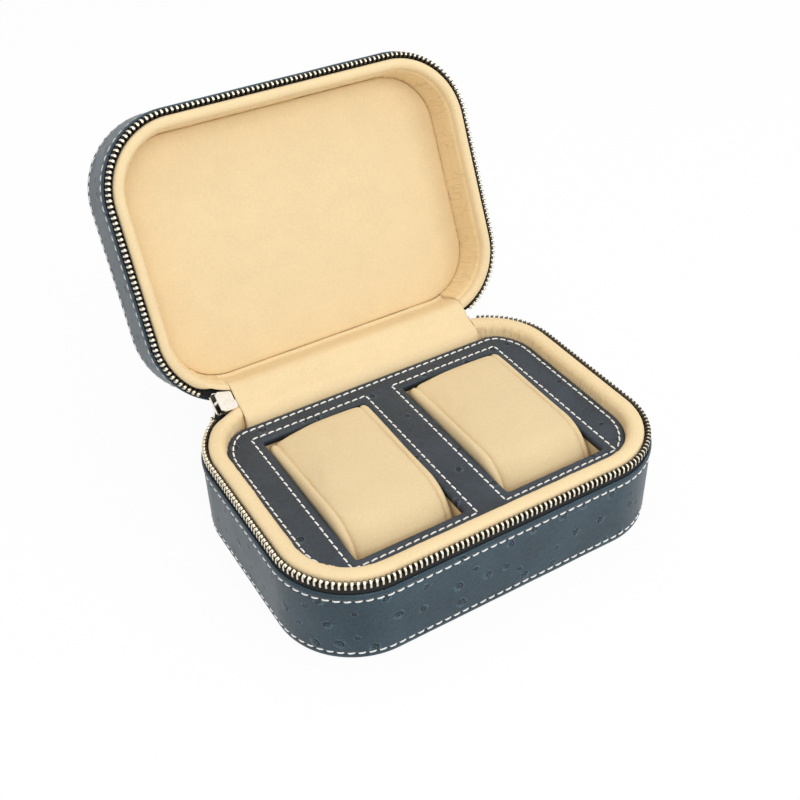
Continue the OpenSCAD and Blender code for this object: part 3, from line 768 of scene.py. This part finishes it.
class WATCHCASE_OT_tray_leather(bpy.types.Operator):
    """Make the tray's leather band, its underside and their stitching"""
    bl_idname = "watchcase.tray_leather"
    bl_label = "Tray leather"

    def execute(self, context):
        leather_half("tray", ("_underside", "_bottom_wrap"), "base", 0, context.scene.watchcase_sizes)
        return {"FINISHED"}


class WATCHCASE_OT_lid_leather(bpy.types.Operator):
    """Make the lid's leather band, its top and their stitching"""
    bl_idname = "watchcase.lid_leather"
    bl_label = "Lid leather"

    def execute(self, context):
        leather_half("lid", ("_top", "_top_wrap"), "lid", LID_FLOOR, context.scene.watchcase_sizes)
        return {"FINISHED"}


# ---- hinge

class WATCHCASE_OT_hinge(bpy.types.Operator):
    """Make the leather hinge strip, the lining cloth over it and the padding below the cloth"""
    bl_idname = "watchcase.hinge"
    bl_label = "Hinge"

    def execute(self, context):
        middle = [(62.55, 31), (62.55, 36), (62.55, 38.6), (62.62, 40.0), (62.9, 40.85), (63.45, 41.15),
                  (64.2, 41.0), lidded(62.55, 38.2), lidded(62.55, 36), lidded(62.55, 31)]
        spine, _ = smooth_curve(middle, 40)
        strip = extruded("hinge_leather", thickened(spine, 0.5), SPAN_X, 40)
        finish_piece(strip, None, "outer leather", "hinge_strip")
        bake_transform(strip)

        slope = [(49.55, 33.0), (49.5, 35.1), (50.3, 37.9), (52.4, 40.3), (55.5, 41.7), (59.0, 42.9),
                 (62.3, 45.3), (65.4, 46.9), (69.2, 46.4), (75.0, 43.6), (80.3, 41.2), lidded(54.5, 24.0),
                 lidded(54.6, 21.0)]
        top, run = smooth_curve(slope, 72)
        half, count = SEAM_X - 0.3, 90
        verts = [lining_point(x, y, z, k) for x in np.linspace(-half, half, count)
                 for k, (y, z) in enumerate(top)]
        cloth = piece("hinge_cloth", verts, quads(count, len(top), closed=False))
        face_up(cloth, "cloth thickness", 0.0006)
        finish_piece(cloth, None, "suede", "hinge_lining")
        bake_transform(cloth)
        tray_pad = pad_below("tray_wedge", [p for p in top if p[0] < 59.0], (59.0, 33.0))
        finish_piece(tray_pad, "base", "suede", "base_back_pad")
        lid_pad = pad_below("lid_wedge", [p for p in top if p[0] > 65.5], lidded(58.5, 22.0),
                            lidded(59.0, 39.0))
        finish_piece(lid_pad, "lid", "suede", "lid_back_pad")
        return {"FINISHED"}


def lining_point(x, y, z, k):
    """A point of the hinge's lining, drawn in round the corners at both ends."""
    rise = 0.12 * waver(x, k, 9, 5) + 0.05 * waver(x * 2.2, k * 0.4, 5, 6)
    radius = 27
    turn = radius - math.sqrt(radius ** 2 - max(0.0, abs(x) - SPAN_X) ** 2)
    turn *= min(1.0, max(0.0, (z - 36) / 4))
    over = min(1.0, max(0.0, (y - 60) / 5))
    return x, y + turn * (1.41 * over - 1), z + rise + 0.91 * turn * over


def thickened(spine, thickness):
    """A closed outline round a (y, z) line."""
    step = np.gradient(spine, axis=0)
    normal = np.stack([-step[:, 1], step[:, 0]], 1) / np.linalg.norm(step, axis=1)[:, None]
    return np.vstack([spine + normal * thickness / 2, (spine - normal * thickness / 2)[::-1]])


def pad_below(name, top, *foot):
    """Padding under a stretch of the lining cloth."""
    lowered = [(y + 0.25, z - 0.8) for y, z in top]
    return extruded(name, lowered + list(foot), SEAM_X - 0.5, 30)


# ---- zip

def zip_tape(name):
    """Woven tape: its foot swells out of the hem and spreads under the roll, its edge carries the teeth."""
    path = case_path(1.2, TAPE_ENDS, TAPE_ENDS)

    def wave(path, inset, z):
        soft = waver_grid(path[:, 4], z[0], 6, 7)
        parked = (path[:, 3:4] < math.radians(130)) * np.clip(inset - 2.1, 0, None) * (z > 36.8)
        return 0.05 * soft * (z > 36) - parked, np.zeros_like(z)

    section = [(1.45, 31), (1.45, 34.6), (0.98, 35.2), (0.94, 36.0), (1.0, 36.6), (1.2, 37.1), (1.4, 37.6),
               (1.45, 38.3), (1.45, 39.1), (1.7, 39.35), (1.95, 39.1), (1.95, 38.1), (2.05, 37.4),
               (2.4, 37.0), (3.4, 36.9), (4.5, 36.9), (4.6, 36.74), (1.95, 36.72), (1.95, 31)]
    return piece(name, *sweep(path, section, False, shift=wave))


def tooth_mesh():
    """One tooth in its own frame (outward, along the zip, up): two legs, a head and its nub."""
    bm = bmesh.new()
    h, g, low, tip = 1.22, 0.25, 38.1, 41.3
    outline = [(-h, low + 0.5), (-h + 0.4, low), (-g, low), (-g, 39.7), (g, 39.7), (g, low), (h - 0.4, low),
               (h, low + 0.5), (h, tip - 0.85), (h - 0.42, tip - 0.2), (0.3, tip), (-0.3, tip),
               (0.42 - h, tip - 0.2), (-h, tip - 0.85)]
    rims = [[bm.verts.new((x, y, z)) for x, z in outline] for y in (-0.52, 0.52)]
    bm.faces.new(rims[0])
    bm.faces.new(list(reversed(rims[1])))
    for k in range(len(outline)):
        q = (k + 1) % len(outline)
        bm.faces.new((rims[0][k], rims[1][k], rims[1][q], rims[0][q]))
    bmesh.ops.recalc_face_normals(bm, faces=bm.faces)
    wide = [e for e in bm.edges if abs(e.verts[0].co.y - e.verts[1].co.y) < 0.01]
    bmesh.ops.bevel(bm, geom=wide, offset=0.24, segments=2, affect="EDGES", profile=0.6, clamp_overlap=True)
    nub = bmesh.ops.create_uvsphere(bm, u_segments=12, v_segments=7, radius=1.0)["verts"]
    for v in nub:
        v.co = Vector((0.72 * v.co.x, 0.42 + 0.6 * v.co.y, tip - 0.78 + 0.66 * v.co.z))
    return bm


def zip_teeth(name, start, sizes):
    """Every tooth of one tape, clamped on its edge: polished on the nub's side, with painted shade on the
    faces behind and on the inner side.
    """
    bm = tooth_mesh()
    bm.verts.index_update()
    shape = np.array([v.co for v in bm.verts])
    cells = [[v.index for v in f.verts] for f in bm.faces]
    bm.free()
    path = case_path(0.25, TEETH_FROM, TEETH_TO)
    points = ring_points(path, TEETH_INSET, 0)
    run = run_along(points)
    pitch = sizes.tooth_pitch / MM
    verts, faces = [], []
    for i in range(int(run[-1] / pitch - start)):
        s = (i + start) * pitch
        x, y, a = at_run(s, run, np.column_stack([points[:, :2], path[:, 3]]))
        a += 0.03 * waver(s, 0, 1.7, 11)
        turned = np.stack([x + shape[:, 0] * math.cos(a) - shape[:, 1] * math.sin(a),
                           y + shape[:, 0] * math.sin(a) + shape[:, 1] * math.cos(a),
                           shape[:, 2] + 0.05 * waver(s, 9, 2.3, 12)], 1)
        first = len(verts)
        verts.extend(turned)
        faces += [[first + k for k in cell] for cell in cells]
    obj = piece(name, verts, faces, sharp=35)
    # Faces behind the nub and on the inner side take the painted-shade copy
    in_painted_shade = [shape[cell][:, 1].mean() < -0.2 or shape[cell][:, 0].mean() < -0.2 for cell in cells]
    mark_faces(obj, in_painted_shade * (len(faces) // len(cells)))
    return obj


def eased(node, name, width):
    """A CAD metal piece with its edges eased."""
    mesh = frame["nodes"][node].data.copy()
    with editing(mesh) as bm:
        bmesh.ops.remove_doubles(bm, verts=bm.verts, dist=0.002 * MM)
        flat = [e for e in bm.edges if len(e.link_faces) == 2 and e.calc_face_angle() < math.radians(2)]
        bmesh.ops.dissolve_edges(bm, edges=flat, use_verts=False)
    obj = linked(name, mesh, 35)
    with_values(obj.modifiers.new("eased edges", "BEVEL"), width=width * MM, segments=3, limit_method="ANGLE",
                angle_limit=math.radians(35), use_clamp_overlap=True)
    return obj


def widen_plate(obj):
    """Lets the slider's inner plate reach further down, to the roll."""
    shut = HINGE @ Matrix.Rotation(OPEN / 2, 4, "X") @ HINGE.inverted()
    down = shut.inverted().to_3x3() @ Vector((0, 0, -PLATE_WIDENING * MM))
    plate_inset, edge_drop = 3.2, 2.5
    for v in obj.data.vertices:
        x, y, z = (shut @ v.co) / MM
        if CORNER - math.hypot(x + SPAN_X, y - SPAN_Y) > plate_inset and z < PART_Z - edge_drop:
            v.co += down


def paint_shade_inside(obj):
    """Gives the faces that look into a hollow of the piece the darker teeth copy: painted shade."""
    obj.data.materials.append(bpy.data.materials["teeth painted shade"])
    lift, reach = 0.02 * MM, 3.4 * MM
    with editing(obj.data) as bm:
        tree = BVHTree.FromBMesh(bm)
        for face in bm.faces:
            hit = tree.ray_cast(face.calc_center_median() + face.normal * lift, face.normal, reach)
            face.material_index = int(hit[0] is not None)


class WATCHCASE_OT_zip(bpy.types.Operator):
    """Make both zip tapes, their teeth, the stops, the slider and its pull"""
    bl_idname = "watchcase.zip"
    bl_label = "Zip"

    def execute(self, context):
        sizes = context.scene.watchcase_sizes
        finish_piece(zip_tape("tray_tape"), "base", "zip tape", "base_zip_tape")
        finish_piece(open_lid(zip_tape("lid_tape")), "lid", "zip tape", "lid_zip_tape")
        for chain, body in ((zip_teeth("tray_teeth", 0.5, sizes), "base"),
                            (open_lid(zip_teeth("lid_teeth", 1.0, sizes)), "lid")):
            finish_piece(chain, body, "teeth metal", body + "_zip_teeth")
            # Second slot: painted shade on the teeth's back and inner faces
            chain.data.materials.append(bpy.data.materials["teeth painted shade"])
        for node, name, body in (("base_top_stop", "tray_end_clip", "base"),
                                 ("lid_top_stop", "lid_end_clip", "lid"),
                                 ("zip_bottom_stop", "start_staple", "zip_stop")):
            finish_piece(eased(node, name, 0.25), body, "teeth metal", node)
        for node, name, body, width in (("slider_body", "slider", "slider", 0.25),
                                        ("slider_bail", "slider_bridge", "slider", 0.2),
                                        ("slider_pull", "pull_tab", "pull", 0.3)):
            made = finish_piece(eased(node, name, width), body, "slider metal", node)
            if name == "slider":
                widen_plate(made)
                # Painted shade in the slider's hollows
                paint_shade_inside(made)
        return {"FINISHED"}


# ---- lining

def roll_shift(path, inset, z):
    """Soft wrinkles down the inner wall, stronger in the corners, and room beside the parked slider."""
    runs, heights, angle = path[:, 4], z[0], np.degrees(path[:, 3])
    wall_inset, crown, slider_inset = 8.2, 42, 5.7
    corner = np.abs(np.sin(2 * path[:, 3])) ** 0.5
    inner = np.clip((inset - wall_inset) / 0.6, 0, 1) * np.clip((crown - z) / 2, 0, 1)
    fine = np.array([[1 - abs(waver(run + 0.3 * waver(run, height, 5, 20), height * 0.14, 2.6, 21))
                      for height in heights] for run in runs]) ** 5
    broad = waver_grid(runs, heights, 9, 22, 0.5)
    where = np.maximum(0.0, 0.35 + waver_grid(runs, heights, 13, 23, 0.4))
    move = inner * (fine * where * (0.4 + 0.7 * corner[:, None]) + 0.14 * broad)
    parked = (angle < PARKED_TO) * (angle > PARKED_FROM) * np.clip((PARKED_TO - angle) / 16, 0, 1) ** 2
    move += parked[:, None] * np.clip(slider_inset - inset, 0, None) * (z > 36)
    return move, 0.08 * broad * (z > 40)


def lining_roll(name, section):
    """A roll and the wall below it, the wall in a lighter, paler copy of the suede: painted light."""
    wall_from = 14
    path = case_path(0.6, ROLL_ENDS, ROLL_ENDS)
    obj = piece(name, *sweep(path, section, False, shift=roll_shift), sharp=60)
    # Wall faces take the second suede, the painted-light copy
    mark_faces(obj, [k % len(section) >= wall_from for k in range(len(obj.data.polygons))])
    return cut_seams(obj)


class WATCHCASE_OT_lining(bpy.types.Operator):
    """Make the padded rolls of the tray and the lid, and the lid's padded panel"""
    bl_idname = "watchcase.lining"
    bl_label = "Lining"

    def execute(self, context):
        outer = [(4.3, 36.95), (3.85, 37.5), (3.5, 38.3), (3.35, 39.3), (3.36, 40.3), (3.62, 41.1)]
        tray = [(4.3, 30)] + outer + [(4.15, 41.7), (5.0, 42.05), (6.0, 42.2), (6.9, 42.2), (7.8, 42.12),
                                      (8.6, 41.85), (9.25, 41.4), (9.75, 40.8), (10.1, 40.1), (10.3, 39.3),
                                      (10.4, 38.4), (10.44, 37.2), (10.46, 36.0), (10.48, 34), (10.5, 30)]
        tray_roll = finish_piece(lining_roll("tray_roll", tray), "base", "suede", "base_rim_lining")
        lid = [(4.3, 18)] + outer + [(4.15, 41.7), (5.1, 42.1), (6.1, 42.15), (6.9, 41.95), (7.55, 41.45),
                                     (8.0, 40.7), (8.2, 39.9), (8.26, 39.2), (8.36, 38.6), (8.62, 38.1),
                                     (8.8, 37.5), (8.88, 36.4), (9.0, 34), (9.12, 31.5), (9.25, 29),
                                     (9.4, 26.5), (9.55, 24.8), (9.7, 23.4), (9.75, 21.5), (9.75, 18)]
        lid_roll = open_lid(lining_roll("lid_roll", lid))
        finish_piece(lid_roll, "lid", "suede", "lid_rim_lining")
        edge = [(9.85, 20.0), (9.85, 22.2), (9.95, 22.7), (10.3, 23.05), (11.0, 23.28), (12.2, 23.42),
                (14.0, 23.5)]

        def padded_height(x, y):
            soft = 0.35 * (1 - (x / 80) ** 2) * (1 - (y / 56) ** 2)
            return PANEL_Z + 0.5 + soft + 0.12 * waver(x, y, 26, 31)

        panel = open_lid(plate("lid_panel", edge, padded_height))
        finish_piece(panel, "lid", "suede", "lid_panel_pad")
        # The rolls' walls in the painted-light copy of the suede
        for roll in (tray_roll, lid_roll):
            roll.data.materials.append(bpy.data.materials["wall suede painted light"])
        return {"FINISHED"}


# ---- deck

class WATCHCASE_OT_deck(bpy.types.Operator):
    """Make the deck's leather with its two rolled windows, and its stitching"""
    bl_idname = "watchcase.deck"
    bl_label = "Deck"

    def execute(self, context):
        rim = [(0, -3.2), (0, -1.0), (0.12, -0.55), (0.45, -0.2), (1.0, 0), (1.7, 0.04), (2.15, -0.04),
               (2.45, -0.18), (2.7, -0.22), (2.95, -0.18), (3.3, -0.04), (3.8, 0)]
        lip = [(0, -3.2), (0, -1.1), (-0.12, -0.6), (-0.5, -0.2), (-1.1, 0.02), (-2.2, 0.06), (-3.1, 0),
               (-3.45, -0.16), (-3.7, -0.22), (-3.95, -0.16), (-4.3, 0)]
        verts, faces, rings = np.zeros((0, 3)), [], []
        for path, section in ((deck_path(1.6), rim), (window_path(-1, 1.6), lip), (window_path(1, 1.6), lip)):
            v, f, _ = sweep(path, [(inset, DECK_Z + rise) for inset, rise in section], True, False)
            first, m = len(verts), len(section)
            rings.append(range(first + m - 1, first + len(v), m))
            faces += [tuple(first + k for k in q) for q in f]
            verts = np.vstack([verts, v])
        flat = [k for ring in rings for k in ring]
        for tri in geometry.tessellate_polygon([[Vector(verts[k]) for k in ring] for ring in rings]):
            faces.append(tuple(flat[k] for k in tri))
        deck = piece("deck_leather", verts, faces, sharp=50)
        face_up(deck, "leather thickness", 0.0008)
        finish_piece(deck, "base", "deck leather", "deck_cover")

        # The edge's row stops where it runs under the roll at the front
        path = deck_path(1.2)
        z = DECK_Z - THREAD_DEPTH
        ring = ring_points(path, EDGE_SEAM, z)
        w, d = WINDOW_HALF_W + WINDOW_SEAM, WINDOW_HALF_D + WINDOW_SEAM
        shown = ring[:, 1] > WINDOW_Y - d + 1.0
        starts = [k for k in range(len(ring)) if shown[k] and not shown[k - 1]]
        ring = np.roll(ring, -starts[0], 0)[:int(shown.sum())]
        rows = [(ring, UP, False)]
        for side, _ in SIDES:
            corners = np.array([(side * WINDOW_X + a * w, WINDOW_Y + b * d, z)
                                for a, b in ((-1, -1), (1, -1), (1, 1), (-1, 1))])
            rows += [(np.linspace(corners[k], corners[(k + 1) % 4], 24), UP, False) for k in range(4)]
        sizes = context.scene.watchcase_sizes
        sewn = stitch_mesh("deck_stitches", rows, sizes, sizes.deck_pitch)
        finish_piece(sewn, "base", "thread", slot="deck_leather")
        for side, word in SIDES:
            finish_piece(well("well_" + word, side), "base", "suede", "well_liner_" + word)
        return {"FINISHED"}


def well(name, side):
    """Cloth box below a window, its corners rounded and its walls a little slack."""
    low, high = 4.75, 32.65
    rings = [(0.9, high - 8.0), (0.9, high), (0.0, high), (0.0, high - 9.0), (0.1, low + 1.0), (1.6, low)]
    path = window_path(side, 3.0, 3.0)
    n, verts = len(path), []
    for grow, height in rings:
        for x, y, z in ring_points(path, -0.3 - grow, height):
            slack = 0.25 * waver(x + y, height, 11, 41) if low + 2 < height < high - 1 else 0
            verts.append((x, y + slack, z))
    return piece(name, verts, quads(len(rings), n) + [[(len(rings) - 1) * n + i for i in range(n)]])


# ---- pillows

def pillow_outline(front, back, low, top, shoulder, rear, foot, crown):
    """Closed (y, z) outline of a pillow seen from its side: flat foot, full front shoulder, tighter back."""
    points = []

    def arc(cy, cz, r, a0, a1, count):
        for a in np.radians(np.linspace(a0, a1, count)):
            points.append((cy + r * math.cos(a), cz + r * math.sin(a)))

    arc(front + foot, low + foot, foot, 270, 180, 8)
    arc(front + shoulder, top - crown - shoulder, shoulder, 180, 93, 18)
    for t in np.linspace(0.04, 0.96, 24):
        y = front + shoulder + (back - rear - front - shoulder) * t
        points.append((y, top - crown * (2 * t - 1) ** 2))
    arc(back - rear, top - crown - rear, rear, 87, 0, 12)
    arc(back - foot, low + foot, foot, 0, -90, 8)
    for t in np.linspace(0.04, 0.96, 22):
        points.append((back - foot + (front + foot - back + foot) * t, low))
    return np.array(points)


FULL = pillow_outline(-43.2, 34.4, 5.9, 41.8, 20, 6, 6, 0.7)
SEAM = pillow_outline(-40.4, 33.7, 8.0, 40.3, 19, 3.5, 5, 0.5)
PILLOW_HALF = 21.4


def leaned(points, middle, lean):
    """Lets the back of a pillow's left end sit lower in its well."""
    points = np.array(points, float)
    share = np.clip((middle - points[:, 0]) / PILLOW_HALF, 0, 1) ** 1.5
    drop = lean * share * np.clip((points[:, 1] + 17) / 45, 0, 1)
    points[:, 2] -= drop * np.clip((points[:, 2] - 10) / 20, 0, 1)
    return points


def pillow_body(name, middle, swell, lean):
    """The cover round the padding, crowned between its two end seams, and swollen."""
    places = [-1, -0.985, -0.95] + list(np.linspace(-0.88, 0.88, 17)) + [0.95, 0.985, 1]
    verts = [(middle + t * PILLOW_HALF, y, z) for t in places
             for y, z in FULL + (SEAM - FULL) * abs(t) ** 2.6]
    obj = piece(name, leaned(verts, middle, lean), capped(len(places), len(FULL)))
    fill_pillow(obj, swell)
    points = points_of(obj) / MM
    near = np.clip((np.abs(points[:, 0] - middle) - PILLOW_HALF + 2.0) / 2.0, 0, 1) ** 2
    away = points[:, 1:] - SEAM.mean(0)
    points[:, 1:] -= away / np.linalg.norm(away, axis=1)[:, None] * near[:, None]
    move_points(obj, points * MM)
    return obj


def apply_modifiers(obj):
    view = bpy.context.evaluated_depsgraph_get()
    mesh = bpy.data.meshes.new_from_object(obj.evaluated_get(view))
    obj.modifiers.clear()
    old = obj.data
    obj.data = mesh
    bpy.data.meshes.remove(old)


def fill_pillow(obj, swell):
    """Swells the padding under its cover with a cloth simulation, and caps how far the cover moves."""
    scene = bpy.context.scene
    with_values(obj.modifiers.new("cover mesh", "REMESH"), mode="VOXEL", voxel_size=0.0022,
                use_smooth_shade=True)
    apply_modifiers(obj)
    start = points_of(obj)
    cloth = obj.modifiers.new("filling", "CLOTH")
    with_values(cloth.settings, use_pressure=True, uniform_pressure_force=4.0, quality=5)
    cloth.settings.effector_weights.gravity = 0.0
    with_values(cloth.point_cache, frame_start=1, frame_end=SWELL_STEPS)
    for step in range(1, SWELL_STEPS + 1):
        scene.frame_set(step)
    apply_modifiers(obj)
    scene.frame_set(1)
    moved = points_of(obj) - start
    distance = np.linalg.norm(moved, axis=1, keepdims=True)
    moved *= np.minimum(1.0, swell / np.maximum(distance, 1e-9))
    move_points(obj, start + moved)
    with_values(obj.modifiers.new("soft cover", "SUBSURF"), levels=1, render_levels=1)
    apply_modifiers(obj)
    obj.data.polygons.foreach_set("use_smooth", [True] * len(obj.data.polygons))


def pillow_sides(name, middle, lean):
    """The two sewn end panels, each puffed out from the seam."""
    verts, faces = [], []
    m, centre = len(SEAM), SEAM.mean(0)
    outward = SEAM - centre
    outward /= np.linalg.norm(outward, axis=1)[:, None]
    rings = [(-2.2, -1.6), (-0.75, -0.5), (-0.42, -0.1), (-0.3, 0.35), (-0.42, 0.85), (-0.85, 1.45),
             (-1.6, 1.95), (-2.7, 2.3), (-4.2, 2.5)]
    for end in (-1, 1):
        first = len(verts)
        for grow, x in rings:
            verts += [(middle + end * (PILLOW_HALF + x), y, z) for y, z in SEAM + outward * grow]
        last = SEAM + outward * rings[-1][0]
        for share in (0.85, 0.68, 0.48, 0.26):
            verts += [(middle + end * (PILLOW_HALF + 2.5 + 0.1 * (1 - share)), y, z)
                      for y, z in centre + (last - centre) * share]
        count = len(rings) + 4
        faces += quads(count, m, first)
        faces.append([first + (count - 1) * m + k for k in range(m)])
        faces.append([first + k for k in reversed(range(m))])
    return piece(name, leaned(verts, middle, lean), faces, sharp=60)


class WATCHCASE_OT_pillows(bpy.types.Operator):
    """Make the two padded pillows and their sewn end panels"""
    bl_idname = "watchcase.pillows"
    bl_label = "Pillows"

    def execute(self, context):
        swell = context.scene.watchcase_sizes.pillow_swell
        for (side, word), lean in zip(SIDES, LEANS):
            name, middle = "pillow_" + word, side * WINDOW_X
            body = pillow_body(name, middle, swell, lean)
            finish_piece(body, name, "pillow suede", name + "_pad", slot="cream_suede")
            sides = pillow_sides(name + "_sides", middle, lean)
            finish_piece(sides, name, "pillow suede", name + "_ends", slot="cream_suede")
        return {"FINISHED"}


# ---- stage

def camera_matrix():
    """Where the camera stands, from its azimuth, elevation and roll."""
    az, el, roll = (math.radians(a) for a in (-30.195, 38.344, -1.646))
    back = Vector((math.sin(az) * math.cos(el), -math.cos(az) * math.cos(el), math.sin(el)))
    right = Vector((0, 0, 1)).cross(back).normalized()
    up = back.cross(right)
    across = math.cos(roll) * right + math.sin(roll) * up
    upright = -math.sin(roll) * right + math.cos(roll) * up
    place = (-12.114 * across + 45.154 * upright + 499.327 * back) * MM
    turn = Matrix((across, upright, back)).transposed()
    return Matrix.Translation(place) @ turn.to_4x4()


def seen_directly(tree):
    """One for what the camera sees, in gloss too, and nought for scattered light."""
    light = tree.nodes.new("ShaderNodeLightPath").outputs
    gloss = math_node("MAXIMUM", light["Is Glossy Ray"], light["Is Transmission Ray"])
    return math_node("MAXIMUM", light["Is Camera Ray"], gloss)


def area_light(name, place, aim, size, power, colour):
    lamp = with_values(bpy.data.lights.new(name, "AREA"), size=size, energy=power, color=colour)
    turn = (Vector(aim) - Vector(place)).to_track_quat("-Z", "Y").to_euler()
    with_values(in_scene(name, lamp), location=place, rotation_euler=turn)


class WATCHCASE_OT_stage(bpy.types.Operator):
    """Set up the camera, the soft studio light and the white floor"""
    bl_idname = "watchcase.stage"
    bl_label = "Stage"

    def execute(self, context):
        scene = context.scene
        lens = with_values(bpy.data.cameras.new("camera"), lens=50.326, sensor_width=36.0,
                           sensor_fit="HORIZONTAL", clip_start=0.01, clip_end=20.0)
        scene.camera = with_values(in_scene("camera", lens), matrix_world=camera_matrix())

        half = 3.0
        mesh = bpy.data.meshes.new("floor")
        corners = [(-half, -half, 0), (half, -half, 0), (half, half, 0), (-half, half, 0)]
        mesh.from_pydata(corners, [], [(0, 1, 2, 3)])
        floor = linked("floor", mesh)
        tree, shader = new_material("white floor")
        speck = shader_node("ShaderNodeTexNoise", {"Scale": 40.0}, tree).outputs["Fac"]
        fill_inputs(shader, {
            "Base Color": blend_colours(speck, (0.80, 0.80, 0.80, 1), (0.82, 0.82, 0.82, 1)),
            "Roughness": 0.9, "Specular IOR Level": 0.0})
        glow = shader_node("ShaderNodeEmission", {"Color": (1, 1, 1, 1), "Strength": 1.0}, tree)
        seen_share = times(seen_directly(tree), 0.94)
        mix = shader_node("ShaderNodeMixShader", {0: seen_share, 1: shader.outputs[0], 2: glow.outputs[0]})
        tree.links.new(mix.outputs[0], tree.nodes["Material Output"].inputs["Surface"])
        floor.data.materials.append(bpy.data.materials["white floor"])

        world = bpy.data.worlds.new("studio")
        scene.world = world
        world.use_nodes = True
        tree = world.node_tree
        fill_inputs(tree.nodes["Background"], {
            "Color": (1, 1, 1, 1), "Strength": spread(seen_directly(tree), 0.0, 1.0, 0.74, 1.0)})
        area_light("key", (-0.25, -0.8, 0.85), (0, 0.05, 0.06), 0.7, 5.1, (1.0, 0.985, 0.96))
        area_light("fill", (0.7, -0.75, 0.55), (0, 0, 0.05), 0.45, 2.4, (0.97, 0.985, 1.0))
        area_light("top", (0.1, 0.25, 1.1), (0, 0.05, 0.05), 0.9, 2.7, (1, 1, 1))
        scene.view_settings.view_transform = "Standard"
        return {"FINISHED"}


# ---- panel and running

OPERATORS = (WATCHCASE_OT_stage, WATCHCASE_OT_finishes, WATCHCASE_OT_tray_leather, WATCHCASE_OT_lid_leather,
             WATCHCASE_OT_hinge, WATCHCASE_OT_zip, WATCHCASE_OT_lining, WATCHCASE_OT_deck,
             WATCHCASE_OT_pillows)


class WATCHCASE_PT_panel(bpy.types.Panel):
    """Steps that make the case, in order"""
    bl_idname = "WATCHCASE_PT_panel"
    bl_label = "Watch case"
    bl_space_type = "VIEW_3D"
    bl_region_type = "UI"
    bl_category = "Watch case"

    def draw(self, context):
        for operator in OPERATORS:
            self.layout.operator(operator.bl_idname)


CLASSES = (WatchCaseSizes, WatchCaseColours) + OPERATORS + (WATCHCASE_PT_panel,)


def register():
    for cls in CLASSES:
        bpy.utils.register_class(cls)
    bpy.types.Scene.watchcase_sizes = bpy.props.PointerProperty(type=WatchCaseSizes)
    bpy.types.Scene.watchcase_colours = bpy.props.PointerProperty(type=WatchCaseColours)


def unregister():
    del bpy.types.Scene.watchcase_colours
    del bpy.types.Scene.watchcase_sizes
    for cls in reversed(CLASSES):
        bpy.utils.unregister_class(cls)


def main():
    register()
    for operator in OPERATORS:
        getattr(bpy.ops.watchcase, operator.bl_idname.split(".")[1])()


if __name__ == "__main__":
    main()
